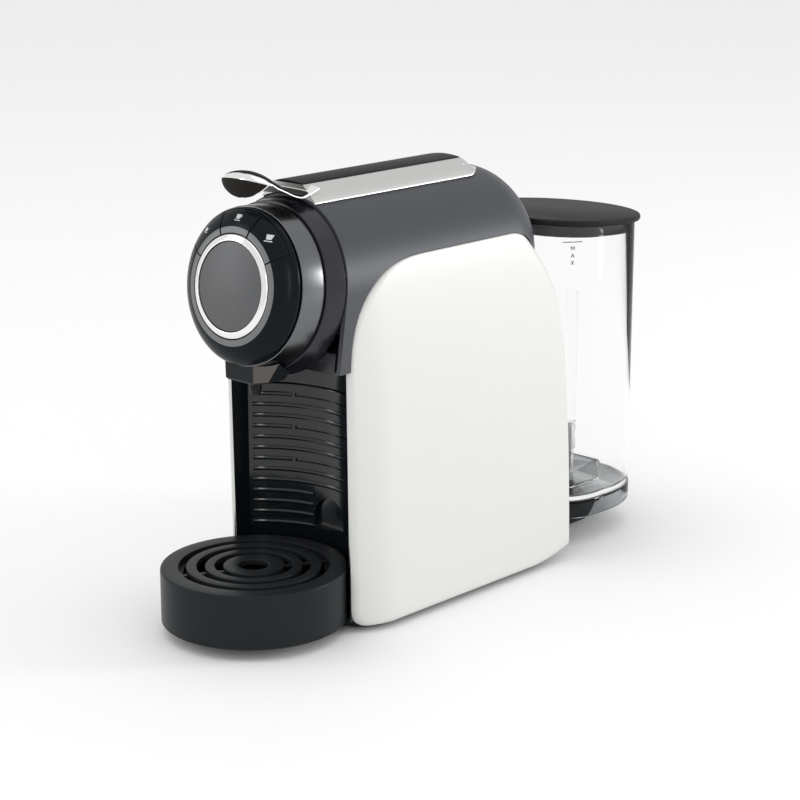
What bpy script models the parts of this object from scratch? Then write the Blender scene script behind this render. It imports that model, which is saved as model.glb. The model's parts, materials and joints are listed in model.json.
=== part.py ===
"""Pod coffee machine with a tilting lever, round head, rear water tank and front drip tray.

Every sub-part is its own closed solid. Helpers take millimetres and convert once, in `mm`.
The frame is +Z up, the machine faces -Y, and the bounding box stands centred on the origin.
"""
import math

import bmesh
import bpy
from mathutils import Matrix, Vector

MM = 0.001
GAP = 0.3                       # clearance between touching pieces

# Head: a short stack of rings on an axis that tilts up at the front
HEAD_TILT = math.radians(8.2)
HEAD_CENTRE = (0.0, -142.1, 203.8)
RIM_RADIUS = 44.2               # front bezel
BAND_RADIUS = 46.4              # back edge of the satin band
COLLAR_RADIUS = 50.6            # back edge of the black collar
BAND_BACK = -18.6
COLLAR_BACK = -31.2
FACE_RADIUS = 29.3              # flat middle of the bezel
FACE_HEIGHT = 8.6
BUTTON_FIRST = math.radians(31.5)
BUTTON_STEP = math.radians(40.6)
BUTTON_TRAVEL = 1.5

# Hood: an arch with a domed rear end
HOOD_RADIUS = 51.5
HOOD_AXIS_Z = 199.5
HOOD_WALL = 3.0
HOOD_FOOT_Z = 168.0
HOOD_LEG_Z = 156.5              # the narrow strip in front of each panel runs lower
DOME_START = 40.0
DOME_LENGTH = 40.0
SEAM_Z = 215.2

# Side panels
PANEL_FRONT = -108.0
PANEL_FRONT_X = 51.0
PANEL_TOP_X = 49.6
PANEL_SWELL = 11.4
PANEL_WALL = 2.5
PANEL_FOOT_Z = 3.6
PANEL_NOSE = 26.0               # length of the rounded front margin
INNER_X = 47.3                  # everything under the panels stays inside this

# Drip tray and column
TRAY_Y = -136.5
TRAY_RADIUS = 54.0
TRAY_FLOOR_Z = 7.0
TRAY_TOP_Z = 39.0
TRAY_LIP = 43.5
COLUMN_RADIUS = 63.0            # hollow front of the column, round the tray's axis
COLUMN_TOP_Z = 155.7
BIN_TOP_Z = 131.0
GRILLE_RINGS = ((39.0, 33.0), (28.2, 22.5), (17.7, 8.7))

# Lever
PIVOT_Y = 27.0
PIVOT_Z = 252.6
LEVER_END = 6.2
LEVER_FRONT = -104.8
LEVER_FOOT_X = 21.4
LEVER_FOOT_Z = 246.3
LEVER_TOP_X = 11.7
LEVER_TOP_Z = 257.2
LEVER_CROWN = 59.2
TONGUE_X = 19.0
TONGUE_FRONT = -143.4
TONGUE_CORNER = 8.0
FLAP_TOP_Z = 262.0
FLAP_FOOT_Z = 253.0
TONGUE_UNDER = ((-100.0, 246.0), (-111.5, 250.0), (-122.0, 255.6), (-129.0, 260.2), (-134.4, 263.6),
                (-138.0, 264.4), (-140.2, 262.4), (-140.9, 259.0), (-140.2, 253.0))
TONGUE_OVER = ((-142.6, 253.0), (-143.4, 259.6), (-141.8, 264.6), (-137.0, 268.0), (-129.0, 264.4),
               (-120.0, 258.2), (-111.5, 253.8), (-104.0, 257.0), (-100.0, 257.0))

# Water tank
TANK_Y = 137.0
TANK_RADIUS = 50.0
TANK_FRONT = 84.0
TANK_FLOOR_Z = 18.0
TANK_TOP_Z = 202.5              # at the back, where the mouth is lowest
TANK_WALL = 2.0
TANK_STEP_Z = 30.0              # joint between the clear tank and its smoky base
TANK_BACK = 187.0
MOUTH_SLOPE = 0.07
TANK_CORNER = 38.0              # the front corners are nearly as round as the back
VALVE_Y = 100.0
LID_RADIUS = 53.5
LID_THICK = 4.2

COLLECTION = "pod_coffee_machine"
CUTTERS = "cutters"

# Inside parts: low corner, high corner, finish
INSIDE_BLOCKS = {
    "brew_rail_left": ((-27.3, -94, 172), (-24.3, 46, 222), "grey_plastic"),
    "brew_rail_right": ((24.3, -94, 172), (27.3, 46, 222), "grey_plastic"),
    "thermoblock_seat": ((-21, 34, 169), (21, 60, 174.7), "grey_plastic"),
    "bulkhead": ((-46.5, -12.5, 7.0), (46.5, -10.0, 150.0), "grey_plastic"),
    "control_board": ((30.0, -4, 40), (31.8, 60, 140), "board"),
}
# Inside parts: radius, start, end, finish
INSIDE_BARS = {
    "brew_piston": (14.0, (0, -48, 203), (0, -6, 203), "steel"),
    "thermoblock": (15.0, (0, 34.5, 190), (0, 60, 190), "steel"),
    "pump": (15.0, (0, 40, 22.0), (0, 40, 96.0), "steel"),
}
# Hoses: radius, points along the middle
HOSES = {
    "pump_hose": (2.5, ((0, 40, 96.3), (0, 40, 115), (0, 46, 140), (0, 46, 168.5))),
    "inlet_hose": (2.2, ((0, 69.8, 14.0), (-14, 66, 14.0), (-23, 58, 14.0), (-24, 47, 14.0),
                         (-19.6, 40, 14.0))),
    "outlet_tube": (2.5, ((0, -95.6, 195), (0, -106, 192), (0, -119, 178), (0, -124, 170))),
}
FEET = {"foot_front_left": (-40, -84), "foot_front_right": (40, -84), "foot_rear_left": (-42, 62),
        "foot_rear_right": (42, 62), "foot_tray": (0, -150)}
FOOT_RADIUS = 7.0
BASE_BOTTOM_Z = 1.8
BASE_TOP_Z = 6.5
SHIELD_FRONT = -145.0
SHIELD_BACK = -124.0
SHIELD_FOOT_Z = 149.0
SHIELD_NOSE = 11.0              # half width of its upright front face
SHIELD_TOP_X = 25.0
SHIELD_FOOT_X = 14.5
NOZZLE_Y = -132.6

PALETTE = {
    "white_shell": ((0.80, 0.80, 0.77), 0.35, 0.0),
    "slate": ((0.035, 0.040, 0.046), 0.35, 0.6),
    "gloss_black": ((0.006, 0.008, 0.010), 0.12, 0.0),
    "satin_black": ((0.018, 0.022, 0.026), 0.40, 0.0),
    "charcoal": ((0.016, 0.021, 0.024), 0.45, 0.0),
    "satin_band": ((0.10, 0.11, 0.12), 0.25, 0.9),
    "chrome": ((0.85, 0.85, 0.86), 0.06, 1.0),
    "silver": ((0.58, 0.58, 0.57), 0.30, 0.7),
    "badge": ((0.10, 0.10, 0.11), 0.30, 0.5),
    "clear": ((0.90, 0.92, 0.93), 0.03, 0.0),
    "smoke": ((0.20, 0.22, 0.24), 0.06, 0.0),
    "rubber": ((0.02, 0.02, 0.02), 0.80, 0.0),
    "brass": ((0.55, 0.42, 0.16), 0.30, 1.0),
    "steel": ((0.55, 0.56, 0.58), 0.30, 1.0),
    "board": ((0.02, 0.16, 0.06), 0.50, 0.0),
    "grey_plastic": ((0.25, 0.26, 0.27), 0.50, 0.0),
}


def mm(*values):
    return Vector([value * MM for value in values])


def clear_scene():
    for obj in list(bpy.data.objects):
        bpy.data.objects.remove(obj, do_unlink=True)


def collection(name):
    group = bpy.data.collections.get(name)
    if group is None:
        group = bpy.data.collections.new(name)
        bpy.context.scene.collection.children.link(group)
    return group


def material(name):
    made = bpy.data.materials.get(name)
    if made:
        return made
    colour, roughness, metallic = PALETTE[name]
    made = bpy.data.materials.new(name)
    made.use_nodes = True
    shader = made.node_tree.nodes["Principled BSDF"]
    shader.inputs["Base Color"].default_value = (*colour, 1.0)
    shader.inputs["Roughness"].default_value = roughness
    shader.inputs["Metallic"].default_value = metallic
    made.diffuse_color = (*colour, 1.0)
    return made


def add(name, mesh, finish=None):
    """Link a mesh as a named part, or as a hidden cutter when it has no finish."""
    obj = bpy.data.objects.new(name, mesh)
    if finish:
        collection(COLLECTION).objects.link(obj)
        obj.data.materials.append(material(finish))
    else:
        collection(CUTTERS).objects.link(obj)
        obj.hide_render = True
        obj.display_type = "WIRE"
    return obj


def bake(obj):
    """Apply an object's modifiers and placing to a fresh mesh, and drop the object."""
    bpy.context.view_layer.update()
    graph = bpy.context.evaluated_depsgraph_get()
    mesh = bpy.data.meshes.new_from_object(obj.evaluated_get(graph), depsgraph=graph)
    mesh.transform(obj.matrix_world)
    work = bmesh.new()
    work.from_mesh(mesh)
    bmesh.ops.remove_doubles(work, verts=work.verts, dist=1e-6)
    bmesh.ops.recalc_face_normals(work, faces=work.faces)
    work.to_mesh(mesh)
    work.free()
    mesh.materials.clear()
    bpy.data.objects.remove(obj, do_unlink=True)
    return mesh


def smooth(obj, angle=35.0):
    obj.data.shade_smooth()
    obj.data.set_sharp_from_angle(angle=math.radians(angle))
    return obj


def box(name, low, high, finish=None, bevel=0.0):
    work = bmesh.new()
    bmesh.ops.create_cube(work, size=1.0)
    size = mm(*[b - a for a, b in zip(low, high)])
    bmesh.ops.scale(work, vec=size, verts=work.verts)
    mesh = bpy.data.meshes.new(name)
    work.to_mesh(mesh)
    work.free()
    obj = add(name, mesh, finish)
    obj.location = mm(*[(a + b) / 2 for a, b in zip(low, high)])
    if bevel:
        edge = obj.modifiers.new("edge", "BEVEL")
        edge.width = bevel * MM
        edge.segments = 2
        edge.limit_method = "ANGLE"
    return obj


def cylinder(name, radius, start, end, finish=None, segments=32):
    """A round bar between two points."""
    start, end = mm(*start), mm(*end)
    run = end - start
    work = bmesh.new()
    bmesh.ops.create_cone(work, cap_ends=True, segments=segments, radius1=radius * MM,
                          radius2=radius * MM, depth=run.length)
    mesh = bpy.data.meshes.new(name)
    work.to_mesh(mesh)
    work.free()
    obj = add(name, mesh, finish)
    obj.location = (start + end) / 2
    obj.rotation_euler = run.to_track_quat("Z", "Y").to_euler()
    return smooth(obj)


def turned(name, profile, centre, finish=None, tilt=None, steps=48):
    """Turn a profile of (radius, height) about its own Z axis, then lean it on the head's axis."""
    mesh = bpy.data.meshes.new(name)
    points = [mm(radius, 0.0, height) for radius, height in profile]
    edges = [(i, i + 1) for i in range(len(points) - 1)]
    if profile[0][0] > 0.0 and profile[-1][0] > 0.0:
        edges.append((len(points) - 1, 0))
    mesh.from_pydata(points, edges, [])
    obj = add(name + "_blank", mesh)
    screw = obj.modifiers.new("turn", "SCREW")
    screw.steps = steps
    screw.render_steps = steps
    screw.use_merge_vertices = True
    screw.merge_threshold = 0.00001
    obj.location = mm(*centre)
    if tilt is not None:
        obj.rotation_euler = (math.pi / 2 - tilt, 0.0, 0.0)
    return smooth(add(name, bake(obj), finish))


def prism(name, outline, low, high, axis, finish=None):
    """Extrude an outline along X (outline in Y, Z), Y (outline in X, Z) or Z (outline in X, Y)."""
    curve = bpy.data.curves.new(name, "CURVE")
    curve.dimensions = "2D"
    curve.fill_mode = "BOTH"
    curve.extrude = abs(high - low) / 2 * MM
    spline = curve.splines.new("POLY")
    spline.points.add(len(outline) - 1)
    for point, (across, along) in zip(spline.points, outline):
        point.co = (across * MM, along * MM, 0.0, 1.0)
    spline.use_cyclic_u = True
    obj = add(name + "_outline", curve)
    middle = (low + high) / 2
    place = {"X": (middle, 0, 0), "Y": (0, middle, 0), "Z": (0, 0, middle)}[axis]
    turn = {"X": (math.pi / 2, 0, math.pi / 2), "Y": (math.pi / 2, 0, 0), "Z": (0, 0, 0)}[axis]
    obj.location = mm(*place)
    obj.rotation_euler = turn
    return add(name, bake(obj), finish)


def tube(name, points, radius, finish):
    curve = bpy.data.curves.new(name, "CURVE")
    curve.dimensions = "3D"
    curve.bevel_depth = radius * MM
    curve.bevel_resolution = 2
    curve.resolution_u = 6
    curve.use_fill_caps = True
    spline = curve.splines.new("BEZIER")
    spline.bezier_points.add(len(points) - 1)
    for point, place in zip(spline.bezier_points, points):
        point.co = mm(*place)
        point.handle_left_type = "AUTO"
        point.handle_right_type = "AUTO"
    return smooth(add(name, bake(add(name + "_line", curve)), finish))


def boolean(obj, other, operation):
    step = obj.modifiers.new(other.name, "BOOLEAN")
    step.operation = operation
    step.solver = "EXACT"
    step.object = other
    return obj


def cut(obj, *others):
    for other in others:
        boolean(obj, other, "DIFFERENCE")
    return obj


def join(obj, *others):
    for other in others:
        boolean(obj, other, "UNION")
    return obj


def keep(obj, other):
    return boolean(obj, other, "INTERSECT")


def arc(centre, radius, start, end, count):
    """Points on an arc, angles in degrees."""
    points = []
    for i in range(count + 1):
        angle = math.radians(start + (end - start) * i / count)
        points.append((centre[0] + radius * math.cos(angle), centre[1] + radius * math.sin(angle)))
    return points


def rounded_rect(left, front, right, back, radius, count=5):
    corners = (((right - radius, back - radius), 0), ((left + radius, back - radius), 90),
               ((left + radius, front + radius), 180), ((right - radius, front + radius), 270))
    return [p for centre, turn in corners for p in arc(centre, radius, turn, turn + 90, count)]


# ---------------------------------------------------------------- base

def make_base():
    plate = prism("base_plate", rounded_rect(-54, -104, 54, 78, 24), BASE_BOTTOM_Z, BASE_TOP_Z, "Z",
                  "satin_black")
    join(plate, prism("base_tongue", rounded_rect(-30, -164, 30, -90, 20), BASE_BOTTOM_Z + 0.1,
                      BASE_TOP_Z - 0.1, "Z"))
    for name, (x, y) in FEET.items():
        cylinder(name, FOOT_RADIUS, (x, y, 0.0), (x, y, BASE_BOTTOM_Z - GAP), "rubber", 24)
    for name, x in (("base_screw_left", -42), ("base_screw_right", 42)):
        cylinder(name, 3.0, (x, 30, 0.4), (x, 30, BASE_BOTTOM_Z - GAP), "steel", 16)


# ---------------------------------------------------------------- side panels

def panel_x(y, z):
    """Half width of the shell: upright at the seam, swelling downward, drawn in at the front."""
    height = min(max(z / (SEAM_Z + 1.0), 0.0), 1.0)
    wide = PANEL_TOP_X + PANEL_SWELL * (1.0 - height ** 2.2) ** 0.8
    along = min(max((y - PANEL_FRONT) / PANEL_NOSE, 0.0), 1.0)
    return PANEL_FRONT_X + (wide - PANEL_FRONT_X) * math.sin(along * math.pi / 2)


def panel_outline(grow=0.0):
    """Outline in Y, Z: tall front edge, big top-front curve, seam, sloping rear, lifted heel."""
    front = PANEL_FRONT - grow
    top = SEAM_Z + grow
    outline = arc((front + 9.0, PANEL_FOOT_Z + 9.0), 9.0, 270, 180, 4)
    outline += arc((front + 40.0, top - 40.0), 40.0, 180, 90, 10)
    outline += [(37.0 + grow, top), (44.0 + grow, SEAM_Z - 0.6), (52.0 + grow, 209.0), (63.5 + grow, 190.5)]
    outline += [(72.7 + grow, 171.0), (77.5 + grow, 141.0), (80.5 + grow, 78.0), (82.0 + grow, 11.0)]
    outline += [(80.0, 9.0), (57.0, PANEL_FOOT_Z)]
    return outline


def make_panels():
    for name, side in (("side_panel_left", -1), ("side_panel_right", 1)):
        work = bmesh.new()
        bmesh.ops.create_grid(work, x_segments=14, y_segments=14, size=0.5)
        for vert in work.verts:
            y = -116.0 + (vert.co.x + 0.5) * 204.0
            z = -2.0 + (vert.co.y + 0.5) * 220.0
            vert.co = mm(side * panel_x(y, z), y, z)
        mesh = bpy.data.meshes.new(name)
        work.to_mesh(mesh)
        work.free()
        skin = add(name + "_skin", mesh)
        wall = skin.modifiers.new("wall", "SOLIDIFY")
        wall.thickness = PANEL_WALL * MM
        wall.offset = -1.0 if side > 0 else 1.0
        shell = smooth(add(name, bake(skin), "white_shell"), 30)
        keep(shell, prism(name + "_edge", panel_outline(), side * 40, side * 70, "X"))


# ---------------------------------------------------------------- hood and head housing

def arch_blank(name, radius, length, foot_z, front):
    """A solid arch along Y that ends in a dome, with straight legs down to foot_z."""
    work = bmesh.new()
    bmesh.ops.create_uvsphere(work, u_segments=32, v_segments=16, radius=1.0)
    bmesh.ops.rotate(work, verts=work.verts, matrix=Matrix.Rotation(math.pi / 2, 3, "X"))
    for plane in ((0, -1, 0), (0, 0, -1)):
        geometry = work.verts[:] + work.edges[:] + work.faces[:]
        bmesh.ops.bisect_plane(work, geom=geometry, dist=1e-6, plane_co=(0, 0, 0), plane_no=plane,
                               clear_outer=True)
    for vert in work.verts:
        vert.co = Vector((vert.co.x * radius, vert.co.y * length, vert.co.z * radius)) * MM
    rim = [edge for edge in work.edges if all(abs(v.co.y) < 1e-7 for v in edge.verts)]
    run = bmesh.ops.extrude_edge_only(work, edges=rim)["geom"]
    moved = [item for item in run if isinstance(item, bmesh.types.BMVert)]
    bmesh.ops.translate(work, vec=mm(0, front - DOME_START, 0), verts=moved)
    rim = [edge for edge in work.edges
           if edge.is_boundary and all(abs(v.co.z) < 1e-7 for v in edge.verts)]
    run = bmesh.ops.extrude_edge_only(work, edges=rim)["geom"]
    moved = [item for item in run if isinstance(item, bmesh.types.BMVert)]
    bmesh.ops.translate(work, vec=mm(0, 0, foot_z - HOOD_AXIS_Z), verts=moved)
    bmesh.ops.remove_doubles(work, verts=work.verts, dist=1e-7)
    front_y = (front - DOME_START) * MM
    low_z = (foot_z - HOOD_AXIS_Z) * MM
    corners = [v for v in work.verts if abs(v.co.y - front_y) < 1e-6 and abs(v.co.z - low_z) < 1e-6]
    sill = work.edges.new(corners)
    for axis, level in ((1, front_y), (2, low_z)):
        rim = [edge for edge in work.edges
               if edge.is_boundary and all(abs(v.co[axis] - level) < 1e-6 for v in edge.verts)]
        bmesh.ops.edgeloop_fill(work, edges=list(set(rim + [sill])))
    bmesh.ops.recalc_face_normals(work, faces=work.faces)
    mesh = bpy.data.meshes.new(name)
    work.to_mesh(mesh)
    work.free()
    mesh.transform(Matrix.Translation(mm(0, DOME_START, HOOD_AXIS_Z)))
    return mesh


def head_place():
    """From the Z axis at the origin to the head's own leaning axis."""
    return Matrix.Translation(mm(*HEAD_CENTRE)) @ Matrix.Rotation(math.pi / 2 - HEAD_TILT, 4, "X")


def head_slab(name, back, front):
    """A big slab square to the head's axis, used to trim what meets the head."""
    slab = box(name, (-80, -80, back), (80, 80, front))
    slab.matrix_world = head_place() @ Matrix.Translation(mm(0, 0, (back + front) / 2))
    return slab


def make_hood():
    hood = add("hood", arch_blank("hood", HOOD_RADIUS, DOME_LENGTH, HOOD_FOOT_Z, -125.0), "slate")
    smooth(hood, 40)
    inside = HOOD_RADIUS - HOOD_WALL
    cavity = add("hood_cavity", arch_blank("hood_cavity", inside, DOME_LENGTH - HOOD_WALL,
                                           HOOD_FOOT_Z - 5.0, -135.0))
    cut(hood, cavity)
    for name, side in (("hood_leg_left", -1), ("hood_leg_right", 1)):
        near, far = sorted((side * (inside + 0.2), side * (HOOD_RADIUS - 0.2)))
        join(hood, box(name, (near, -124.8, HOOD_LEG_Z), (far, -100.0, HOOD_FOOT_Z + 4)))
    cut(hood, head_slab("hood_front_trim", COLLAR_BACK - GAP, 60.0))
    for name, side in (("hood_rebate_left", -1), ("hood_rebate_right", 1)):
        cut(hood, prism(name, panel_outline(GAP), side * INNER_X, side * 80, "X"))
    cut(hood, box("pod_slot_cut", (-17, -64, 230), (17, -38, 260)))
    cut(hood, cylinder("lever_end_pocket", LEVER_END + 0.6, (-22.2, PIVOT_Y, PIVOT_Z),
                       (22.2, PIVOT_Y, PIVOT_Z)))
    floor = box("head_underside", (-46.8, -125, 156.0), (46.8, -69, HOOD_FOOT_Z - GAP), "gloss_black")
    cut(floor, head_slab("underside_trim", COLLAR_BACK - GAP, 60.0))
    back = rounded_rect(-46.5, 7.0, 46.5, HOOD_FOOT_Z - 0.6, 4)
    prism("rear_cover", back, 76.0, 73.0, "Y", "grey_plastic")


# ---------------------------------------------------------------- head rings

def head_turned(name, profile, finish=None, steps=64):
    return turned(name, profile, HEAD_CENTRE, finish, HEAD_TILT, steps)


def bezel_slope(inner):
    """Front of the bezel: a convex cone from its flat face out towards the rim."""
    return [(inner, FACE_HEIGHT - 0.4), (33.0, 7.9), (37.5, 5.9), (41.5, 3.2)]


def wedge(name, start, end, inner, outer, back, front):
    """A sector cutter about the head's axis."""
    points = arc((0, 0), outer, math.degrees(start), math.degrees(end), 10)
    points += arc((0, 0), inner, math.degrees(end), math.degrees(start), 10)
    blank = prism(name + "_flat", points, back, front, "Z")
    blank.data.transform(head_place())
    blank.name = name
    return blank


def make_head():
    head_turned("head_collar", [(47.0, BAND_BACK - GAP), (COLLAR_RADIUS, COLLAR_BACK),
                                (43.0, COLLAR_BACK), (43.0, BAND_BACK - GAP)], "gloss_black")
    head_turned("head_band", [(RIM_RADIUS + 0.3, -3.3), (BAND_RADIUS, BAND_BACK), (42.5, BAND_BACK),
                              (41.0, -3.3)], "satin_band")
    face = [(0.0, FACE_HEIGHT - 4.0), (FACE_RADIUS + GAP, FACE_HEIGHT - 4.0)]
    rim = [(RIM_RADIUS - 0.6, 0.7), (RIM_RADIUS, -0.6), (RIM_RADIUS, -3.0), (0.0, -3.0)]
    bezel = head_turned("front_bezel", face + bezel_slope(FACE_RADIUS + GAP) + rim, "gloss_black")
    last = BUTTON_FIRST + 3 * BUTTON_STEP
    cut(bezel, wedge("button_pocket", BUTTON_FIRST, last, 31.0, 43.2, -1.0, 20.0))
    for i, name in enumerate(("brew_button_right", "brew_button_centre", "brew_button_left")):
        start = BUTTON_FIRST + i * BUTTON_STEP + 0.006
        end = start + BUTTON_STEP - 0.012
        key = head_turned(name, bezel_slope(30.0) + [(43.3, 1.06), (43.3, 0.8), (30.0, 0.8)], "gloss_black")
        keep(key, wedge(name + "_edge", start, end, 31.3, 42.9, -5.0, 20.0))
    head_turned("chrome_ring", [(26.0, FACE_HEIGHT + 0.6), (28.2, FACE_HEIGHT + 0.4), (29.0, FACE_HEIGHT - 0.2),
                                (29.0, FACE_HEIGHT - 3.6), (25.5, FACE_HEIGHT - 3.6),
                                (25.5, FACE_HEIGHT)], "chrome")
    head_turned("badge_disc", [(0.0, FACE_HEIGHT - 0.4), (24.7, FACE_HEIGHT - 0.4), (25.2, FACE_HEIGHT - 0.9),
                               (25.2, FACE_HEIGHT - 3.6), (0.0, FACE_HEIGHT - 3.6)], "badge")
    head_turned("button_board", [(0.0, -3.4), (39.5, -3.4), (39.5, -5.0), (0.0, -5.0)], "board", 32)


def make_spout():
    section = [(-SHIELD_TOP_X, 165.0), (-SHIELD_FOOT_X, SHIELD_FOOT_Z), (SHIELD_FOOT_X, SHIELD_FOOT_Z),
               (SHIELD_TOP_X, 165.0)]
    shield = prism("spout_shield", section, SHIELD_FRONT, SHIELD_BACK, "Y", "charcoal")
    plan = [(-SHIELD_NOSE, SHIELD_FRONT), (SHIELD_NOSE, SHIELD_FRONT), (SHIELD_TOP_X + 1, -136.0),
            (SHIELD_TOP_X + 1, SHIELD_BACK), (-SHIELD_TOP_X - 1, SHIELD_BACK), (-SHIELD_TOP_X - 1, -136.0)]
    keep(shield, prism("shield_plan", plan, 140.0, 175.0, "Z"))
    cut(shield, head_turned("spout_seat", [(0.0, 12.0), (RIM_RADIUS + GAP, 12.0), (RIM_RADIUS + GAP, -2.0),
                                           (COLLAR_RADIUS + GAP, COLLAR_BACK), (COLLAR_RADIUS + GAP, -60.0),
                                           (0.0, -60.0)]))
    cylinder("spout_nozzle", 3.6, (0, NOZZLE_Y, 140.0), (0, NOZZLE_Y, SHIELD_FOOT_Z - GAP),
             "satin_black", 24)


# ---------------------------------------------------------------- column, bin and drip tray

def concave_outline(half, radius, back):
    """Plan outline with a hollow front struck round the tray's axis."""
    swing = math.degrees(math.acos(half / radius))
    outline = arc((0, TRAY_Y), radius, 180 - swing, swing, 20)
    return outline + [(half, back), (-half, back)]


def make_column():
    frame = prism("front_frame", concave_outline(50.0, COLUMN_RADIUS, -62.0), 7.0, COLUMN_TOP_Z, "Z",
                  "gloss_black")
    passage = box("bin_passage", (-47.3, -120, 0), (47.3, -50, BIN_TOP_Z + GAP))
    shaft = box("frame_hollow", (-44, -68, 125), (44, -50, 170))
    cut(frame, passage, shaft)
    for name, side in (("cheek_left", -1), ("cheek_right", 1)):
        near, far = sorted((side * 47.3, side * 48.4))
        join(frame, box(name, (near, -106.5, 7.2), (far, -90.0, COLUMN_TOP_Z - 0.2)))
    outline = concave_outline(47.0, COLUMN_RADIUS, -66.0)
    front = prism("bin_front", outline, 10.0, BIN_TOP_Z, "Z", "gloss_black")
    hollow = prism("bin_front_hollow", concave_outline(60.0, COLUMN_RADIUS + 3.0, -40.0), 0, 200, "Z")
    cut(front, hollow)
    container = box("capsule_bin", (-43.5, -68.5, 10.0), (43.5, -16.0, 112.0), "satin_black")
    cut(container, box("bin_inside", (-41.5, -66.5, 12.0), (41.5, -18.0, 130.0)))


def make_tray():
    tray = turned("drip_tray", [(0.0, 9.5), (51.0, 9.5), (51.0, 33.0), (41.0, 33.0), (41.0, 35.0),
                                (TRAY_LIP, 35.0), (TRAY_LIP, TRAY_TOP_Z), (52.5, TRAY_TOP_Z),
                                (TRAY_RADIUS, TRAY_TOP_Z - 1.5), (TRAY_RADIUS, TRAY_FLOOR_Z),
                                (0.0, TRAY_FLOOR_Z)], (0, TRAY_Y, 0), "charcoal", steps=64)
    join(tray, box("tray_tab", (-28, -95, 7.2), (28, -20, 9.4)))
    outer, inner = GRILLE_RINGS[0]
    grille = turned("drip_grille", ring_profile(outer, inner), (0, TRAY_Y, 0), "charcoal")
    for i, (outer, inner) in enumerate(GRILLE_RINGS[1:]):
        join(grille, turned(f"grille_ring_{i}", ring_profile(outer, inner), (0, TRAY_Y, 0)))
    for i in range(3):
        spoke = box(f"grille_spoke_{i}", (-43.1, -1.6, 35.3), (43.1, 1.6, 37.0))
        spoke.location = mm(0, TRAY_Y, 36.15)
        spoke.rotation_euler = (0, 0, i * math.pi / 3)
        join(grille, spoke)
    cut(grille, cylinder("grille_hole", 8.6, (0, TRAY_Y, 30), (0, TRAY_Y, 45)))


def ring_profile(outer, inner):
    return [(outer - 0.4, TRAY_TOP_Z), (outer, TRAY_TOP_Z - 0.5), (outer, 35.6), (inner, 35.6),
            (inner, TRAY_TOP_Z - 0.5), (inner + 0.4, TRAY_TOP_Z)]


# ---------------------------------------------------------------- lever

def make_lever():
    section = [(-LEVER_FOOT_X, LEVER_FOOT_Z), (LEVER_FOOT_X, LEVER_FOOT_Z), (LEVER_TOP_X, LEVER_TOP_Z),
               (-LEVER_TOP_X, LEVER_TOP_Z)]
    lever = prism("lever", section, LEVER_FRONT, PIVOT_Y + LEVER_END + 1.0, "Y", "silver")
    side = [(LEVER_FRONT - 5, 240)] + [(LEVER_FRONT - 5, 262)]
    side += arc((PIVOT_Y, PIVOT_Z), LEVER_END, 90, -90, 12) + [(PIVOT_Y - 20, 240)]
    keep(lever, prism("lever_side", side, -30, 30, "X"))
    tongue = prism("lever_tongue", TONGUE_UNDER + TONGUE_OVER, -TONGUE_X, TONGUE_X, "X")
    inset = TONGUE_X - TONGUE_CORNER
    plan = arc((-inset, TONGUE_FRONT + TONGUE_CORNER), TONGUE_CORNER, 180, 270, 8)
    plan += arc((inset, TONGUE_FRONT + TONGUE_CORNER), TONGUE_CORNER, 270, 360, 8)
    keep(tongue, prism("tongue_plan", plan + [(TONGUE_X, -90), (-TONGUE_X, -90)], 240, 280, "Z"))
    drop = FLAP_TOP_Z - FLAP_FOOT_Z
    rim = [(x, FLAP_TOP_Z + z * drop / TONGUE_X) for x, z in arc((0, 0), TONGUE_X, 180, 360, 20)]
    rim += [(25, FLAP_TOP_Z), (25, 240), (-25, 240), (-25, FLAP_TOP_Z)]
    cut(tongue, prism("flap_face", rim, -150, -135, "Y"))
    join(lever, tongue)
    cut(lever, cylinder("lever_arch", HOOD_RADIUS + 0.7, (0, -180, HOOD_AXIS_Z), (0, 60, HOOD_AXIS_Z),
                        segments=96))
    cut(lever, cylinder("knuckle_room", 4.7, (-6.4, PIVOT_Y, PIVOT_Z), (6.4, PIVOT_Y, PIVOT_Z)))
    cut(lever, box("knuckle_notch", (-6.4, PIVOT_Y - 4.7, 240), (6.4, PIVOT_Y + 15, PIVOT_Z + 3.6)))
    cut(lever, cylinder("lever_bore", 1.8, (-25, PIVOT_Y, PIVOT_Z), (25, PIVOT_Y, PIVOT_Z), segments=24))
    top = [(-11.2, LEVER_TOP_Z + GAP), (11.2, LEVER_TOP_Z + GAP)]
    crown = math.degrees(math.acos(11.2 / LEVER_CROWN))
    top += arc((0, HOOD_AXIS_Z), LEVER_CROWN, crown, 180 - crown, 8)
    prism("lever_inlay", top, LEVER_FRONT + 1.0, PIVOT_Y, "Y", "gloss_black")
    cylinder("lever_pin", 1.5, (-15.5, PIVOT_Y, PIVOT_Z), (15.5, PIVOT_Y, PIVOT_Z), "steel", 24)
    knuckle = cylinder("lever_knuckle", 4.2, (-6.0, PIVOT_Y, PIVOT_Z), (6.0, PIVOT_Y, PIVOT_Z),
                       "satin_black")
    join(knuckle, box("knuckle_stem", (-5.9, PIVOT_Y - 3.8, 206.0), (5.9, PIVOT_Y + 3.8, PIVOT_Z)))
    cut(knuckle, cylinder("knuckle_bore", 1.8, (-25, PIVOT_Y, PIVOT_Z), (25, PIVOT_Y, PIVOT_Z), segments=24))


# ---------------------------------------------------------------- brewing parts inside

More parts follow.
